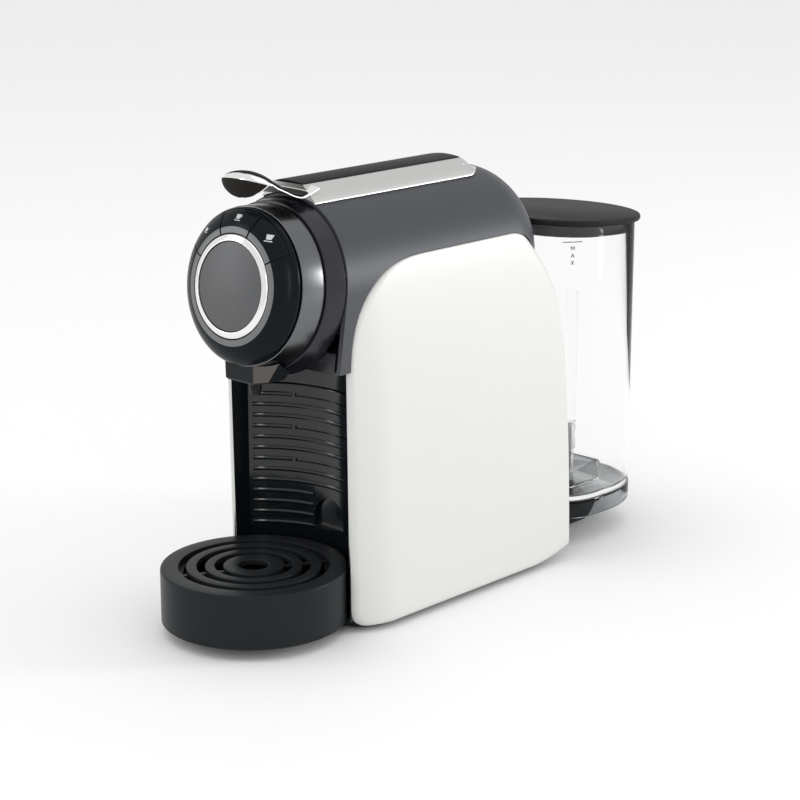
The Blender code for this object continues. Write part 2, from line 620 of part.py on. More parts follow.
def make_inside():
    for name, (low, high, finish) in INSIDE_BLOCKS.items():
        box(name, low, high, finish)
    for name, (radius, start, end, finish) in INSIDE_BARS.items():
        cylinder(name, radius, start, end, finish)
    for name, (radius, points) in HOSES.items():
        tube(name, points, radius, "rubber")
    block = box("brew_block", (-22, -94, 184), (22, -70, 222), "grey_plastic", 2.0)
    cut(block, cylinder("brew_cup", 14.5, (0, -86, 203), (0, -60, 203)))
    chute = box("pod_chute", (-21, -69.5, 172), (21, -34, 240), "satin_black")
    cut(chute, box("chute_inside", (-18.5, -67, 160), (18.5, -36.5, 260)))
    cut(chute, cylinder("chute_window", 17.0, (0, -90, 203), (0, -20, 203)))
    box("pump_mount", (-16, 24, 7.0), (16, 56, 21.7), "rubber", 2.0)


# ---------------------------------------------------------------- water tank

def tank_outline(grow=0.0):
    """Plan of the tank: a half round at the back and large corners at the flat front."""
    radius = TANK_RADIUS + grow
    corner = TANK_CORNER + grow
    inset = radius - corner
    front = TANK_FRONT - grow + corner
    outline = arc((0, TANK_Y), radius, 0, 180, 28) + arc((-inset, front), corner, 180, 270, 12)
    return outline + arc((inset, front), corner, 270, 360, 12)


def slant(obj, above):
    """Lift the points above a height towards the front: the tank's mouth and lid slope down to the back."""
    for vert in obj.data.vertices:
        if vert.co.z > above * MM:
            vert.co.z += (TANK_BACK * MM - vert.co.y) * MOUTH_SLOPE
    return obj


def make_tank():
    body = prism("water_tank", tank_outline(), TANK_STEP_Z, TANK_TOP_Z, "Z", "clear")
    inside = prism("tank_inside", tank_outline(-TANK_WALL), TANK_STEP_Z + TANK_WALL, TANK_TOP_Z + 30, "Z")
    cut(slant(body, TANK_STEP_Z + 1), inside)
    smooth(body)
    ring = smooth(prism("tank_base", tank_outline(0.6), TANK_FLOOR_Z, TANK_STEP_Z - GAP, "Z", "smoke"))
    cut(ring, prism("tank_base_inside", tank_outline(-3.0), TANK_FLOOR_Z - 5, TANK_STEP_Z - 2.5, "Z"))
    cut(ring, cylinder("valve_hole", 7.0, (0, VALVE_Y, 0), (0, VALVE_Y, TANK_STEP_Z - 1)))
    cylinder("tank_valve", 6.0, (0, VALVE_Y, 19.5), (0, VALVE_Y, TANK_STEP_Z - 2.8), "grey_plastic", 24)
    low = TANK_TOP_Z + GAP
    lid = prism("tank_lid", tank_outline(LID_RADIUS - TANK_RADIUS), low, low + LID_THICK, "Z", "satin_black")
    keep(smooth(slant(lid, 0)), box("lid_front_edge", (-70, TANK_FRONT - 1.0, 190), (70, 200, 230)))
    collar = prism("lid_collar", tank_outline(-2.5), TANK_TOP_Z - 7.0, TANK_TOP_Z, "Z", "smoke")
    hollow = prism("collar_inside", tank_outline(-4.5), TANK_TOP_Z - 20.0, TANK_TOP_Z - 1.5, "Z")
    cut(smooth(slant(collar, 0)), slant(hollow, 0))


def make_tank_support():
    outline = [(81, 3.2), (144, 3.2), (167, 10.0), (167, TANK_FLOOR_Z - 1.3), (81, TANK_FLOOR_Z - 1.3)]
    prism("tank_support", outline, -22, 22, "X", "satin_black")
    cylinder("foot_tank", 7.0, (0, 136, 0), (0, 136, 3.2 - GAP), "rubber", 24)
    cylinder("tank_socket", 5.4, (0, VALVE_Y, TANK_FLOOR_Z - 1.0), (0, VALVE_Y, 19.2), "rubber", 24)
    cylinder("cord_gland", 4.5, (34, 76.3, 12.0), (34, 84.0, 12.0), "rubber", 24)


def main():
    clear_scene()
    make_base()
    make_panels()
    make_hood()
    make_head()
    make_spout()
    make_column()
    make_tray()
    make_lever()
    make_inside()
    make_tank()
    make_tank_support()


main()
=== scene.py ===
"""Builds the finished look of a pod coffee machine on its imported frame.

Run as a script. Lengths in the helpers are millimetres; `mm` turns them into metres.
"""
import json
import math

import bmesh
import bpy
from mathutils import Matrix, Vector


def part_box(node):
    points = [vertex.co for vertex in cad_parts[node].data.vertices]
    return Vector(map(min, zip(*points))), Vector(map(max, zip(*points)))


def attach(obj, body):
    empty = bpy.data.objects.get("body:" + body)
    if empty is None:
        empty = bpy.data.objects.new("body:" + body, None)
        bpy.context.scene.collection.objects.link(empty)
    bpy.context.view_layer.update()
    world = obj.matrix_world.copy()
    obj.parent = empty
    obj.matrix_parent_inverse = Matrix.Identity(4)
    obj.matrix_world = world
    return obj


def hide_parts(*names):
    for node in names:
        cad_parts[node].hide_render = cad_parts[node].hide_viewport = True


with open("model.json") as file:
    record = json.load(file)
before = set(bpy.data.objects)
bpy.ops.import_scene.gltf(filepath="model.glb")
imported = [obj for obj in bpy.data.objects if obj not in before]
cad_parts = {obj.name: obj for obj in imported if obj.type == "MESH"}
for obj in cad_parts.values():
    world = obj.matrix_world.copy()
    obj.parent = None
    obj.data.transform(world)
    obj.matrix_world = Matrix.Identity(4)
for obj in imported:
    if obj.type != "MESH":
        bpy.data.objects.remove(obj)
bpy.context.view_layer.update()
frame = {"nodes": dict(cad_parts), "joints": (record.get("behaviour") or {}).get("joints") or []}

bl_info = {
    "name": "Pod Coffee Machine",
    "version": (1, 0, 0),
    "blender": (4, 5, 0),
    "location": "View3D > Sidebar > Coffee",
    "description": "Builds a pod coffee machine piece by piece on its packed frame",
    "category": "Add Mesh",
}

MM = 0.001


def low(node, axis):
    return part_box(node)[0][axis] / MM


def high(node, axis):
    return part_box(node)[1][axis] / MM


def middle(node):
    a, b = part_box(node)
    return (Vector(a) + Vector(b)) / 2 / MM


def joint(name):
    return next(j for j in frame["joints"] if j["name"] == name)


# Everything below is in millimetres and comes from the frame.
PRESS = Vector(joint("centre_button_press")["axis"])
FORWARD = -PRESS
TILT = math.asin(FORWARD.z)
TO_HEAD = Matrix.Rotation(math.pi / 2 - TILT, 4, "X")
HEAD = middle("badge_disc") - FORWARD * 6.6
BAND = high("head_band", 0)
COLLAR = high("head_collar", 0)
RING = high("chrome_ring", 0)
BADGE = high("badge_disc", 0)
TRAY_R = high("drip_tray", 0)
TRAY = Vector((0.0, low("drip_tray", 1) + TRAY_R, 0.0))
TRAY_TOP = high("drip_tray", 2)
TRAY_FLOOR = low("drip_tray", 2)
COLUMN_R = 63.0
TANK_R = high("water_tank", 0)
TANK_BACK = high("water_tank", 1)
TANK_Y = TANK_BACK - TANK_R
TANK_FRONT = low("water_tank", 1)
TANK_CORNER = 38.0
MOUTH_SLOPE = 0.07
MOUTH_LOW = high("water_tank", 2) - MOUTH_SLOPE * (TANK_BACK - TANK_FRONT)
HOOD_R = high("hood", 0)
HOOD_Z = high("hood", 2) - HOOD_R
DOME_LENGTH = 40.0
DOME_START = high("hood", 1) - DOME_LENGTH
SEAM = high("side_panel_right", 2)
PANEL_LOW = low("side_panel_right", 2)
PANEL_FRONT = low("side_panel_right", 1)
PANEL_HEART = Vector((-12.0, 108.0))
PIVOT = Vector(joint("lever_hinge")["pos_m"]) / MM


def mm(*values):
    return Vector([value * MM for value in values])


# ---------------------------------------------------------------- sizes and colours

def length(name, description, value, small=0.0, large=0.1):
    return bpy.props.FloatProperty(name=name, description=description, default=value * MM,
                                   min=small, max=large, unit="LENGTH", precision=4)


def colour(name, description, *value):
    return bpy.props.FloatVectorProperty(name=name, description=description, default=value, size=3,
                                         min=0.0, max=1.0, subtype="COLOR")


class MachineSizes(bpy.types.PropertyGroup):
    panel_edge: length("Panel edge", "Radius of the side panels' rounded back and bottom edges", 4.5)
    panel_wall: length("Panel wall", "Thickness of the side panels", 2.2)
    rib_pitch: length("Rib pitch", "Distance from one rib on the bin's front to the next", 6.67)
    rib_height: length("Rib height", "How far a rib stands off the bin's front", 0.7)
    tank_wall: length("Tank wall", "Thickness of the clear tank", 2.0)
    lever_skin: length("Lever skin", "Thickness of the lever's curled lip", 1.8)
    rib_count: bpy.props.IntProperty(name="Ribs", description="How many ribs the bin's front has",
                                     default=13, min=10, max=16)


class MachineColours(bpy.types.PropertyGroup):
    shell: colour("Shell", "Side panels", 0.66, 0.66, 0.64)
    hood: colour("Hood", "Hood and dome", 0.036, 0.037, 0.039)
    black: colour("Black", "Bezel, collar and column", 0.006, 0.008, 0.010)
    charcoal: colour("Charcoal", "Drip tray", 0.015, 0.017, 0.019)
    silver: colour("Silver", "Lever", 0.56, 0.56, 0.55)
    band: colour("Band", "Metal band behind the bezel", 0.15, 0.155, 0.16)


# ---------------------------------------------------------------- shader groups

def node(tree, kind, place, **values):
    made = tree.nodes.new(kind)
    made.location = place
    for name, value in values.items():
        if name in made.inputs:
            made.inputs[name].default_value = value
        else:
            setattr(made, name, value)
    return made


def wire(tree, *links):
    """Join sockets, each link given as (node, output, node, input)."""
    for source, leaving, target, entering in links:
        tree.links.new(source.outputs[leaving], target.inputs[entering])


def group(name, kind, inputs, outputs):
    """A new tree with its sockets; an input's type follows from its default value."""
    tree = bpy.data.node_groups.new(name, kind)
    for label, value in inputs.items():
        if isinstance(value, tuple):
            socket = "NodeSocketColor" if len(value) == 4 else "NodeSocketVector"
        else:
            socket = "NodeSocketInt" if isinstance(value, int) else "NodeSocketFloat"
        tree.interface.new_socket(label, in_out="INPUT", socket_type=socket).default_value = value
    for label, socket in outputs.items():
        tree.interface.new_socket(label, in_out="OUTPUT", socket_type=socket)
    return tree, node(tree, "NodeGroupInput", (-1000, 0)), node(tree, "NodeGroupOutput", (1100, 0))


def moulded_skin():
    """Fine moulded grain with a slow drift of gloss, for plastics and paint."""
    tree, given, out = group(
        "Moulded Skin", "ShaderNodeTree",
        {"Grain Scale": 900.0, "Grain Depth": 0.05, "Roughness": 0.4, "Drift": 0.05,
         "Colour": (0.5, 0.5, 0.5, 1.0), "Shade": 0.03},
        {"Color": "NodeSocketColor", "Roughness": "NodeSocketFloat", "Normal": "NodeSocketVector"})
    place = node(tree, "ShaderNodeTexCoord", (-900, -300))
    grain = node(tree, "ShaderNodeTexNoise", (-500, -200), Detail=3.0, Roughness=0.6)
    drift = node(tree, "ShaderNodeTexNoise", (-500, 150), Scale=22.0, Detail=4.0, Roughness=0.55)
    bump = node(tree, "ShaderNodeBump", (200, -250), Distance=0.0002)
    centred = node(tree, "ShaderNodeMath", (-250, 150), operation="SUBTRACT")
    centred.inputs[1].default_value = 0.5
    spread = node(tree, "ShaderNodeMath", (-50, 150), operation="MULTIPLY")
    rough = node(tree, "ShaderNodeMath", (200, 100), operation="ADD", use_clamp=True)
    shade = node(tree, "ShaderNodeMath", (-50, 320), operation="MULTIPLY_ADD")
    shade.inputs[2].default_value = 1.0
    tint = node(tree, "ShaderNodeVectorMath", (250, 320), operation="SCALE")
    wire(
        tree,
        (place, "Object", grain, "Vector"), (place, "Object", drift, "Vector"),
        (given, "Grain Scale", grain, "Scale"), (given, "Grain Depth", bump, "Strength"),
        (grain, "Fac", bump, "Height"), (drift, "Fac", centred, 0), (centred, 0, spread, 0),
        (given, "Drift", spread, 1), (spread, 0, rough, 0), (given, "Roughness", rough, 1),
        (centred, 0, shade, 0), (given, "Shade", shade, 1), (given, "Colour", tint, 0),
        (shade, 0, tint, "Scale"), (tint, 0, out, "Color"), (rough, 0, out, "Roughness"),
        (bump, 0, out, "Normal"))
    return tree


def turned_lines():
    """Fine lathe lines: noise that changes only along one turned axis."""
    tree, given, out = group(
        "Turned Lines", "ShaderNodeTree",
        {"Line Scale": 1.0, "Line Depth": 0.1, "Roughness": 0.3, "Drift": 0.1, "Place": (0.0, 0.0, 0.0)},
        {"Roughness": "NodeSocketFloat", "Normal": "NodeSocketVector"})
    apart = node(tree, "ShaderNodeSeparateXYZ", (-700, -100))
    flat = node(tree, "ShaderNodeCombineXYZ", (-500, -300))
    reach = node(tree, "ShaderNodeVectorMath", (-350, -300), operation="LENGTH")
    both = node(tree, "ShaderNodeCombineXYZ", (-350, -100))
    lines = node(tree, "ShaderNodeTexNoise", (-150, -100), Detail=2.0, Roughness=0.7)
    bump = node(tree, "ShaderNodeBump", (250, -200), Distance=0.0001)
    centred = node(tree, "ShaderNodeMath", (50, 100), operation="SUBTRACT")
    centred.inputs[1].default_value = 0.5
    rough = node(tree, "ShaderNodeMath", (250, 100), operation="MULTIPLY_ADD", use_clamp=True)
    wire(
        tree,
        (given, "Place", apart, 0), (apart, "X", flat, "X"), (apart, "Y", flat, "Y"),
        (flat, 0, reach, 0), (reach, "Value", both, "X"), (apart, "Z", both, "Y"),
        (both, 0, lines, "Vector"), (given, "Line Scale", lines, "Scale"),
        (lines, "Fac", bump, "Height"), (given, "Line Depth", bump, "Strength"),
        (lines, "Fac", centred, 0), (centred, 0, rough, 0), (given, "Drift", rough, 1),
        (given, "Roughness", rough, 2), (rough, 0, out, "Roughness"), (bump, 0, out, "Normal"))
    return tree


def shared(name, make):
    return bpy.data.node_groups.get(name) or make()


def once(build):
    """Let a finish be built only the first time that its name comes up."""
    def get(name, *values, **sockets):
        return bpy.data.materials.get(name) or build(name, *values, **sockets)
    return get


def blank(name, **sockets):
    """A new Principled material with plain socket values."""
    made = bpy.data.materials.new(name)
    made.use_nodes = True
    shader = made.node_tree.nodes["Principled BSDF"]
    for label, value in sockets.items():
        shader.inputs[label.replace("_", " ")].default_value = value
    return made, made.node_tree, shader


@once
def skin(name, tint, roughness, grain=900.0, depth=0.05, drift=0.05, shade=0.03, **sockets):
    """A moulded plastic, rubber or painted finish."""
    made, tree, shader = blank(name, **sockets)
    effect = node(tree, "ShaderNodeGroup", (-350, 100), node_tree=shared("Moulded Skin", moulded_skin))
    for label, value in (("Grain Scale", grain), ("Grain Depth", depth), ("Roughness", roughness),
                         ("Drift", drift), ("Colour", (*tint, 1.0)), ("Shade", shade)):
        effect.inputs[label].default_value = value
    wire(
        tree,
        (effect, "Color", shader, "Base Color"), (effect, "Roughness", shader, "Roughness"),
        (effect, "Normal", shader, "Normal"))
    made.diffuse_color = (*tint, 1.0)
    return made


@once
def lathe_metal(name, tint, roughness, centre, turn, scale=900.0, depth=0.12, drift=0.12, **sockets):
    """A turned metal whose lines run round an axis through a centre."""
    made, tree, shader = blank(name, Metallic=1.0, Base_Color=(*tint, 1.0), **sockets)
    place = node(tree, "ShaderNodeTexCoord", (-900, 0))
    move = node(tree, "ShaderNodeVectorMath", (-720, 0), operation="SUBTRACT")
    move.inputs[1].default_value = centre * MM
    lean = node(tree, "ShaderNodeVectorRotate", (-540, 0), rotation_type="X_AXIS")
    lean.inputs["Angle"].default_value = -turn
    effect = node(tree, "ShaderNodeGroup", (-330, 0), node_tree=shared("Turned Lines", turned_lines))
    for label, value in (("Line Scale", scale), ("Line Depth", depth), ("Roughness", roughness),
                         ("Drift", drift)):
        effect.inputs[label].default_value = value
    wire(
        tree,
        (place, "Object", move, 0), (move, 0, lean, "Vector"), (lean, 0, effect, "Place"),
        (effect, "Roughness", shader, "Roughness"), (effect, "Normal", shader, "Normal"))
    made.diffuse_color = (*tint, 1.0)
    return made


@once
def clear_plastic(name, tint, roughness, weight=1.0, wave=0.02, bend=1.22):
    """See-through plastic with a faint moulding ripple."""
    made, tree, shader = blank(name, Base_Color=(*tint, 1.0), Transmission_Weight=weight, IOR=bend)
    place = node(tree, "ShaderNodeTexCoord", (-900, 0))
    ripple = node(tree, "ShaderNodeTexNoise", (-650, 0), Scale=35.0, Detail=1.0)
    bump = node(tree, "ShaderNodeBump", (-300, -200), Distance=0.0004, Strength=wave)
    gloss = node(tree, "ShaderNodeMath", (-300, 100), operation="MULTIPLY_ADD", use_clamp=True)
    gloss.inputs[1].default_value = 0.03
    gloss.inputs[2].default_value = roughness
    wire(
        tree,
        (place, "Object", ripple, "Vector"), (ripple, "Fac", bump, "Height"), (ripple, "Fac", gloss, 0),
        (bump, 0, shader, "Normal"), (gloss, 0, shader, "Roughness"))
    made.diffuse_color = (*tint, 0.3)
    return made


@once
def circuit_board(name):
    """Green laminate with a faint pattern of tracks."""
    made, tree, shader = blank(name, Roughness=0.45)
    place = node(tree, "ShaderNodeTexCoord", (-900, 0))
    tracks = node(tree, "ShaderNodeTexVoronoi", (-650, 0), Scale=260.0, distance="MANHATTAN", feature="F1")
    ramp = node(tree, "ShaderNodeValToRGB", (-400, 0))
    ramp.color_ramp.elements[0].color = (0.05, 0.30, 0.12, 1.0)
    ramp.color_ramp.elements[1].color = (0.01, 0.11, 0.04, 1.0)
    ramp.color_ramp.elements[1].position = 0.35
    wire(
        tree,
        (place, "Object", tracks, "Vector"), (tracks, "Distance", ramp, "Fac"),
        (ramp, "Color", shader, "Base Color"))
    return made


def palette():
    """Every finish by name, built once from the colours."""
    tones = bpy.context.scene.machine_colours
    head_turn = math.pi / 2 - TILT
    return {
        "shell": skin("warm_white_shell", tones.shell, 0.36, 1500, 0.035, 0.05, 0.02, Coat_Weight=0.15,
                      Coat_Roughness=0.25),
        "hood": skin("slate_paint", tones.hood, 0.27, 2600, 0.06, 0.04, 0.08, Metallic=0.95,
                     Specular_IOR_Level=0.3),
        "black": skin("gloss_black", tones.black, 0.10, 500, 0.015, 0.05, 0.1, Specular_IOR_Level=0.09),
        "column": skin("column_black", tones.black, 0.12, 500, 0.015, 0.05, 0.1, Specular_IOR_Level=0.5),
        "bezel": skin("bezel_black", tones.black, 0.22, 900, 0.02, 0.05, 0.1, Specular_IOR_Level=0.08),
        "charcoal": skin("charcoal_satin", tones.charcoal, 0.34, 1800, 0.10, 0.06, 0.08,
                         Specular_IOR_Level=0.10),
        "lid": skin("lid_satin", (0.018, 0.018, 0.018), 0.50, 2200, 0.16, 0.05, 0.08,
                    Specular_IOR_Level=0.06),
        "silver": skin("silver_satin", tones.silver, 0.38, 2600, 0.08, 0.04, 0.04, Metallic=0.85),
        # The lever's dark inlay, also laid over its lip as painted dark reflection.
        "inlay": skin("lever_inlay_and_dark_reflection", (0.016, 0.014, 0.013), 0.42, 1600, 0.04, 0.05, 0.08,
                      Specular_IOR_Level=0.04),
        "band": lathe_metal("band_metal", tones.band, 0.26, HEAD, head_turn),
        "badge": lathe_metal("badge_metal", (0.125, 0.127, 0.130), 0.42, HEAD, head_turn, 1500.0, 0.2, 0.1),
        "chrome": lathe_metal("chrome", (0.86, 0.86, 0.87), 0.06, HEAD, head_turn, 300.0, 0.01, 0.03),
        "lever_chrome": skin("lever_chrome", (0.86, 0.85, 0.84), 0.10, 700, 0.01, 0.04, 0.02, Metallic=1.0),
        "accent": skin("button_accent", (0.15, 0.155, 0.16), 0.34, 900, 0.03, 0.05, 0.05, Metallic=0.3),
        "icon": skin("icon_print", (0.55, 0.56, 0.57), 0.45, 900, 0.02, 0.05, 0.05),
        "facet": skin("facet_bronze", (0.095, 0.086, 0.078), 0.30, 1600, 0.05, 0.06, 0.08, Metallic=0.6),
        "mark": skin("mark_print", (0.03, 0.03, 0.03), 0.5, 900, 0.02, 0.05, 0.05),
        "rubber": skin("rubber", (0.018, 0.018, 0.019), 0.75, 1200, 0.25, 0.08, 0.1),
        "steel": skin("steel", (0.56, 0.57, 0.59), 0.30, 700, 0.08, 0.12, 0.05, Metallic=1.0),
        "cast": skin("cast_aluminium", (0.50, 0.50, 0.52), 0.50, 420, 0.5, 0.15, 0.08, Metallic=0.95),
        "grey": skin("grey_moulding", (0.23, 0.24, 0.25), 0.50, 1000, 0.15, 0.08, 0.08),
        "white_part": skin("white_moulding", (0.85, 0.86, 0.87), 0.40, 1000, 0.05, 0.05, 0.03),
        "clear": clear_plastic("clear_plastic", (0.985, 0.985, 0.985), 0.0, bend=1.12),
        "smoke": clear_plastic("smoky_plastic", (0.40, 0.42, 0.43), 0.01),
        "dark_smoke": clear_plastic("dark_smoky_plastic", (0.06, 0.06, 0.065), 0.02, 0.8),
        "board": circuit_board("circuit_board"),
    }


# ---------------------------------------------------------------- making and placing meshes

def finish(name, work, finishes, body, replaces=(), sharp=35.0):
    """Turn a bmesh into a finished piece that rides on a body."""
    tones = palette()
    piece = as_object(name, work)
    for key in [finishes] if isinstance(finishes, str) else finishes:
        piece.data.materials.append(tones[key])
    piece.data.shade_smooth()
    piece.data.set_sharp_from_angle(angle=math.radians(sharp))
    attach(piece, body)
    if replaces:
        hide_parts(*replaces)
    return piece


def clean(work, flip=True):
    bmesh.ops.remove_doubles(work, verts=work.verts, dist=1e-6)
    if flip:
        bmesh.ops.recalc_face_normals(work, faces=work.faces)
    return work


def loft(rings, closed=True, caps=True, wrap=False, work=None):
    """Skin rings of points. closed joins each ring's ends, wrap joins the last ring to the first."""
    work = work or bmesh.new()
    rows = [[work.verts.new(Vector(p) * MM) for p in ring] for ring in rings]
    count = len(rows[0])
    pairs = list(zip(rows, rows[1:])) + ([(rows[-1], rows[0])] if wrap else [])
    for one, two in pairs:
        for i in range(count if closed else count - 1):
            j = (i + 1) % count
            work.faces.new((one[i], one[j], two[j], two[i]))
    if caps:
        work.faces.new(rows[0])
        work.faces.new(rows[-1])
    return work


def arc(cx, cy, radius, start, end, count):
    """Points on an arc in a plane, angles in degrees."""
    turn = (end - start) / count
    return [(cx + radius * math.cos(math.radians(start + turn * i)),
             cy + radius * math.sin(math.radians(start + turn * i))) for i in range(count + 1)]


def lathe(profile, steps=128, start=0.0, end=360.0, work=None):
    """Turn a closed or axis-to-axis profile of (radius, height) about Z; a part turn gets end caps."""
    whole = abs(end - start - 360.0) < 1e-6
    count = steps if whole else steps + 1
    rings = []
    for i in range(count):
        angle = math.radians(start + (end - start) * i / steps)
        rings.append([(r * math.cos(angle), r * math.sin(angle), h) for r, h in profile])
    made = loft(rings, closed=True, caps=not whole, wrap=whole, work=work)
    return clean(made)


def rounded(profile, radius, count=4):
    """Round every corner of a closed profile by up to a radius, given one or a list of radii."""
    total = len(profile)
    out = []
    for i, corner in enumerate(profile):
        size = radius[i] if isinstance(radius, (list, tuple)) else radius
        here = Vector(corner)
        before = Vector(profile[i - 1]) - here
        after = Vector(profile[(i + 1) % total]) - here
        if size <= 0.0 or before.length < 1e-6 or after.length < 1e-6:
            out.append(tuple(here))
            continue
        reach = min(size, before.length * 0.49, after.length * 0.49)
        a = here + before.normalized() * reach
        b = here + after.normalized() * reach
        for k in range(count + 1):
            t = k / count
            out.append(tuple(a * (1 - t) ** 2 + here * 2 * t * (1 - t) + b * t ** 2))
    return out


def shift(work, offset):
    """Move a mesh by an offset in millimetres."""
    bmesh.ops.translate(work, vec=offset * MM, verts=work.verts)
    return work


def onto_head(work):
    """Move something built round Z at the origin onto the head's axis."""
    bmesh.ops.transform(work, matrix=Matrix.Translation(HEAD * MM) @ TO_HEAD, verts=work.verts)
    return work


def slab(low_corner, high_corner, edge=0.0, segments=3):
    """A block with rounded edges."""
    work = bmesh.new()
    bmesh.ops.create_cube(work, size=1.0)
    size = Vector(high_corner) - Vector(low_corner)
    bmesh.ops.scale(work, vec=size * MM, verts=work.verts)
    bmesh.ops.translate(work, vec=(Vector(low_corner) + Vector(high_corner)) / 2 * MM, verts=work.verts)
    if edge:
        bmesh.ops.bevel(work, geom=work.edges[:], offset=edge * MM, segments=segments, profile=0.5,
                        affect="EDGES")
    return work


def merge(target, extra, slot=0):
    """Add one bmesh's faces to another, on a material slot."""
    for face in extra.faces:
        face.material_index = slot
    mesh = bpy.data.meshes.new("merge")
    extra.to_mesh(mesh)
    extra.free()
    target.from_mesh(mesh)
    bpy.data.meshes.remove(mesh)
    return target


def carve(work, *cutters):
    """Cut solids out of a solid with exact booleans and return a clean bmesh."""
    base = as_object("base", work)
    for i, cutter in enumerate(cutters):
        tool = as_object(f"cutter_{i}", cutter)
        step = base.modifiers.new("cut", "BOOLEAN")
        step.operation = "DIFFERENCE"
        step.solver = "EXACT"
        step.object = tool
    graph = bpy.context.evaluated_depsgraph_get()
    mesh = bpy.data.meshes.new_from_object(base.evaluated_get(graph), depsgraph=graph)
    for step in list(base.modifiers):
        bpy.data.objects.remove(step.object, do_unlink=True)
    bpy.data.objects.remove(base, do_unlink=True)
    made = bmesh.new()
    made.from_mesh(mesh)
    bpy.data.meshes.remove(mesh)
    return clean(made, flip=False)


def as_object(name, work):
    mesh = bpy.data.meshes.new(name)
    work.to_mesh(mesh)
    work.free()
    made = bpy.data.objects.new(name, mesh)
    bpy.context.scene.collection.objects.link(made)
    return made


def grow_tree(name, tree, inputs):
    """Run a geometry tree once and hand back its plain mesh."""
    holder = as_object(name, bmesh.new())
    step = holder.modifiers.new(name, "NODES")
    step.node_group = tree
    for socket in tree.interface.items_tree:
        if socket.item_type == "SOCKET" and socket.in_out == "INPUT" and socket.name in inputs:
            step[socket.identifier] = inputs[socket.name]
    graph = bpy.context.evaluated_depsgraph_get()
    mesh = bpy.data.meshes.new_from_object(holder.evaluated_get(graph), depsgraph=graph)
    holder.modifiers.remove(step)
    bpy.data.objects.remove(holder, do_unlink=True)
    return mesh


# ---------------------------------------------------------------- side panels

def panel_front(z):
    """The front edge leans back a little towards the foot."""
    return PANEL_FRONT - 1.0 + 3.2 * (1.0 - z / SEAM)


def panel_half_width(y, z):
    """Half width of the shell: upright at the seam, swelling downward, drawn in at the front."""
    height = min(max(z / (SEAM + 1.0), 0.0), 1.0)
    wide = 49.6 + 11.4 * (1.0 - height ** 2.2) ** 0.8
    along = min(max((y - panel_front(z)) / 26.0, 0.0), 1.0)
    return 51.0 + (wide - 51.0) * math.sin(along * math.pi / 2)


def panel_edge_line():
    """The panel's outline in Y, Z, evenly walked: front, big top curve, seam, sloping back, lifted heel."""
    corners = [(panel_front(PANEL_LOW), PANEL_LOW), (panel_front(SEAM), SEAM), (44.5, SEAM), (63.5, 190.5),
               (72.7, 171.0), (77.5, 141.0), (80.5, 78.0), (82.0, 10.0), (57.0, PANEL_LOW)]
    radii = [11.0, 62.0, 13.0, 16.0, 18.0, 24.0, 30.0, 3.0, 14.0]
    line = rounded(corners, radii, 14)
    walk = [Vector(p) for p in line]
    walk.append(walk[0])
    marks = [0.0]
    for a, b in zip(walk, walk[1:]):
        marks.append(marks[-1] + (b - a).length)
    count = 260
    out = []
    spot = 0
    for i in range(count):
        want = marks[-1] * i / count
        while marks[spot + 1] < want:
            spot += 1
        share = (want - marks[spot]) / max(marks[spot + 1] - marks[spot], 1e-9)
        out.append(walk[spot].lerp(walk[spot + 1], share))
    return out


def panel_shell(side, edge, wall):
    line = panel_edge_line()
    count = len(line)
    inward = []
    for i in range(count):
        run = line[(i + 1) % count] - line[i - 1]
        inward.append(Vector((run.y, -run.x)).normalized())

    def radius(p):
        """Edge radius: tight at the seam, soft at the front and largest at the back and bottom."""
        seam = max(0.0, min(1.0, (SEAM - p.y) / 10.0))
        front = max(0.0, min(1.0, (p.x - PANEL_FRONT) / 12.0))
        back = max(0.0, min(1.0, (p.x - 40.0) / 10.0))
        return 0.7 + (edge - 0.7) * max(seam * (0.55 + 0.45 * front), back)

    def ring(shrink, drop, scale=1.0, inner=0.0):
        points = []
        for p, n in zip(line, inward):
            r = radius(p)
            q = p + n * (r * shrink)
            q = PANEL_HEART + (q - PANEL_HEART) * scale
            x = panel_half_width(q.x, q.y) - r * drop - inner
            points.append((side * x, q.x, q.y))
        return points

    rings = []
    for i in range(7):
        angle = math.pi / 2 * i / 6
        rings.append(ring(1 - math.sin(math.pi / 2 - angle), 1 - math.sin(angle)))
    inside = 22
    rings += [ring(1.0, 0.0, 1.0 - i / inside) for i in range(1, inside)]
    rings_back = [ring(1.0, 0.0, 1.0 - i / inside, wall) for i in range(inside - 1, 0, -1)]
    rings_back += [ring(0.55, 0.0, 1.0, wall + 0.4), ring(0.08, 1.0, 1.0, wall * 0.45)]
    work = loft(rings, caps=False)
    work = loft(rings_back, caps=False, work=work)
    bmesh.ops.remove_doubles(work, verts=work.verts, dist=1e-6)
    work.verts.ensure_lookup_table()
    bridge(work, rings[0], rings_back[-1])
    for rim in (rings[-1], rings_back[0]):
        verts = [nearest(work, p) for p in rim]
        work.faces.new(verts)
    return clean(work)


def nearest(work, point):
    want = Vector(point) * MM
    return min(work.verts, key=lambda v: (v.co - want).length_squared)


def bridge(work, one, two):
    a = [nearest(work, p) for p in one]
    b = [nearest(work, p) for p in two]
    for i in range(len(a)):
        j = (i + 1) % len(a)
        if len({a[i], a[j], b[j], b[i]}) == 4:
            work.faces.new((a[i], a[j], b[j], b[i]))


class COFFEE_OT_side_panels(bpy.types.Operator):
    """Build the two white side panels"""
    bl_idname = "coffee.side_panels"
    bl_label = "Side Panels"

    def execute(self, context):
        sizes = context.scene.machine_sizes
        for name, side in (("side_panel_left", -1), ("side_panel_right", 1)):
            work = panel_shell(side, sizes.panel_edge / MM, sizes.panel_wall / MM)
            finish("shell_" + name, work, "shell", "machine", [name], 50)
        return {"FINISHED"}


# ---------------------------------------------------------------- hood

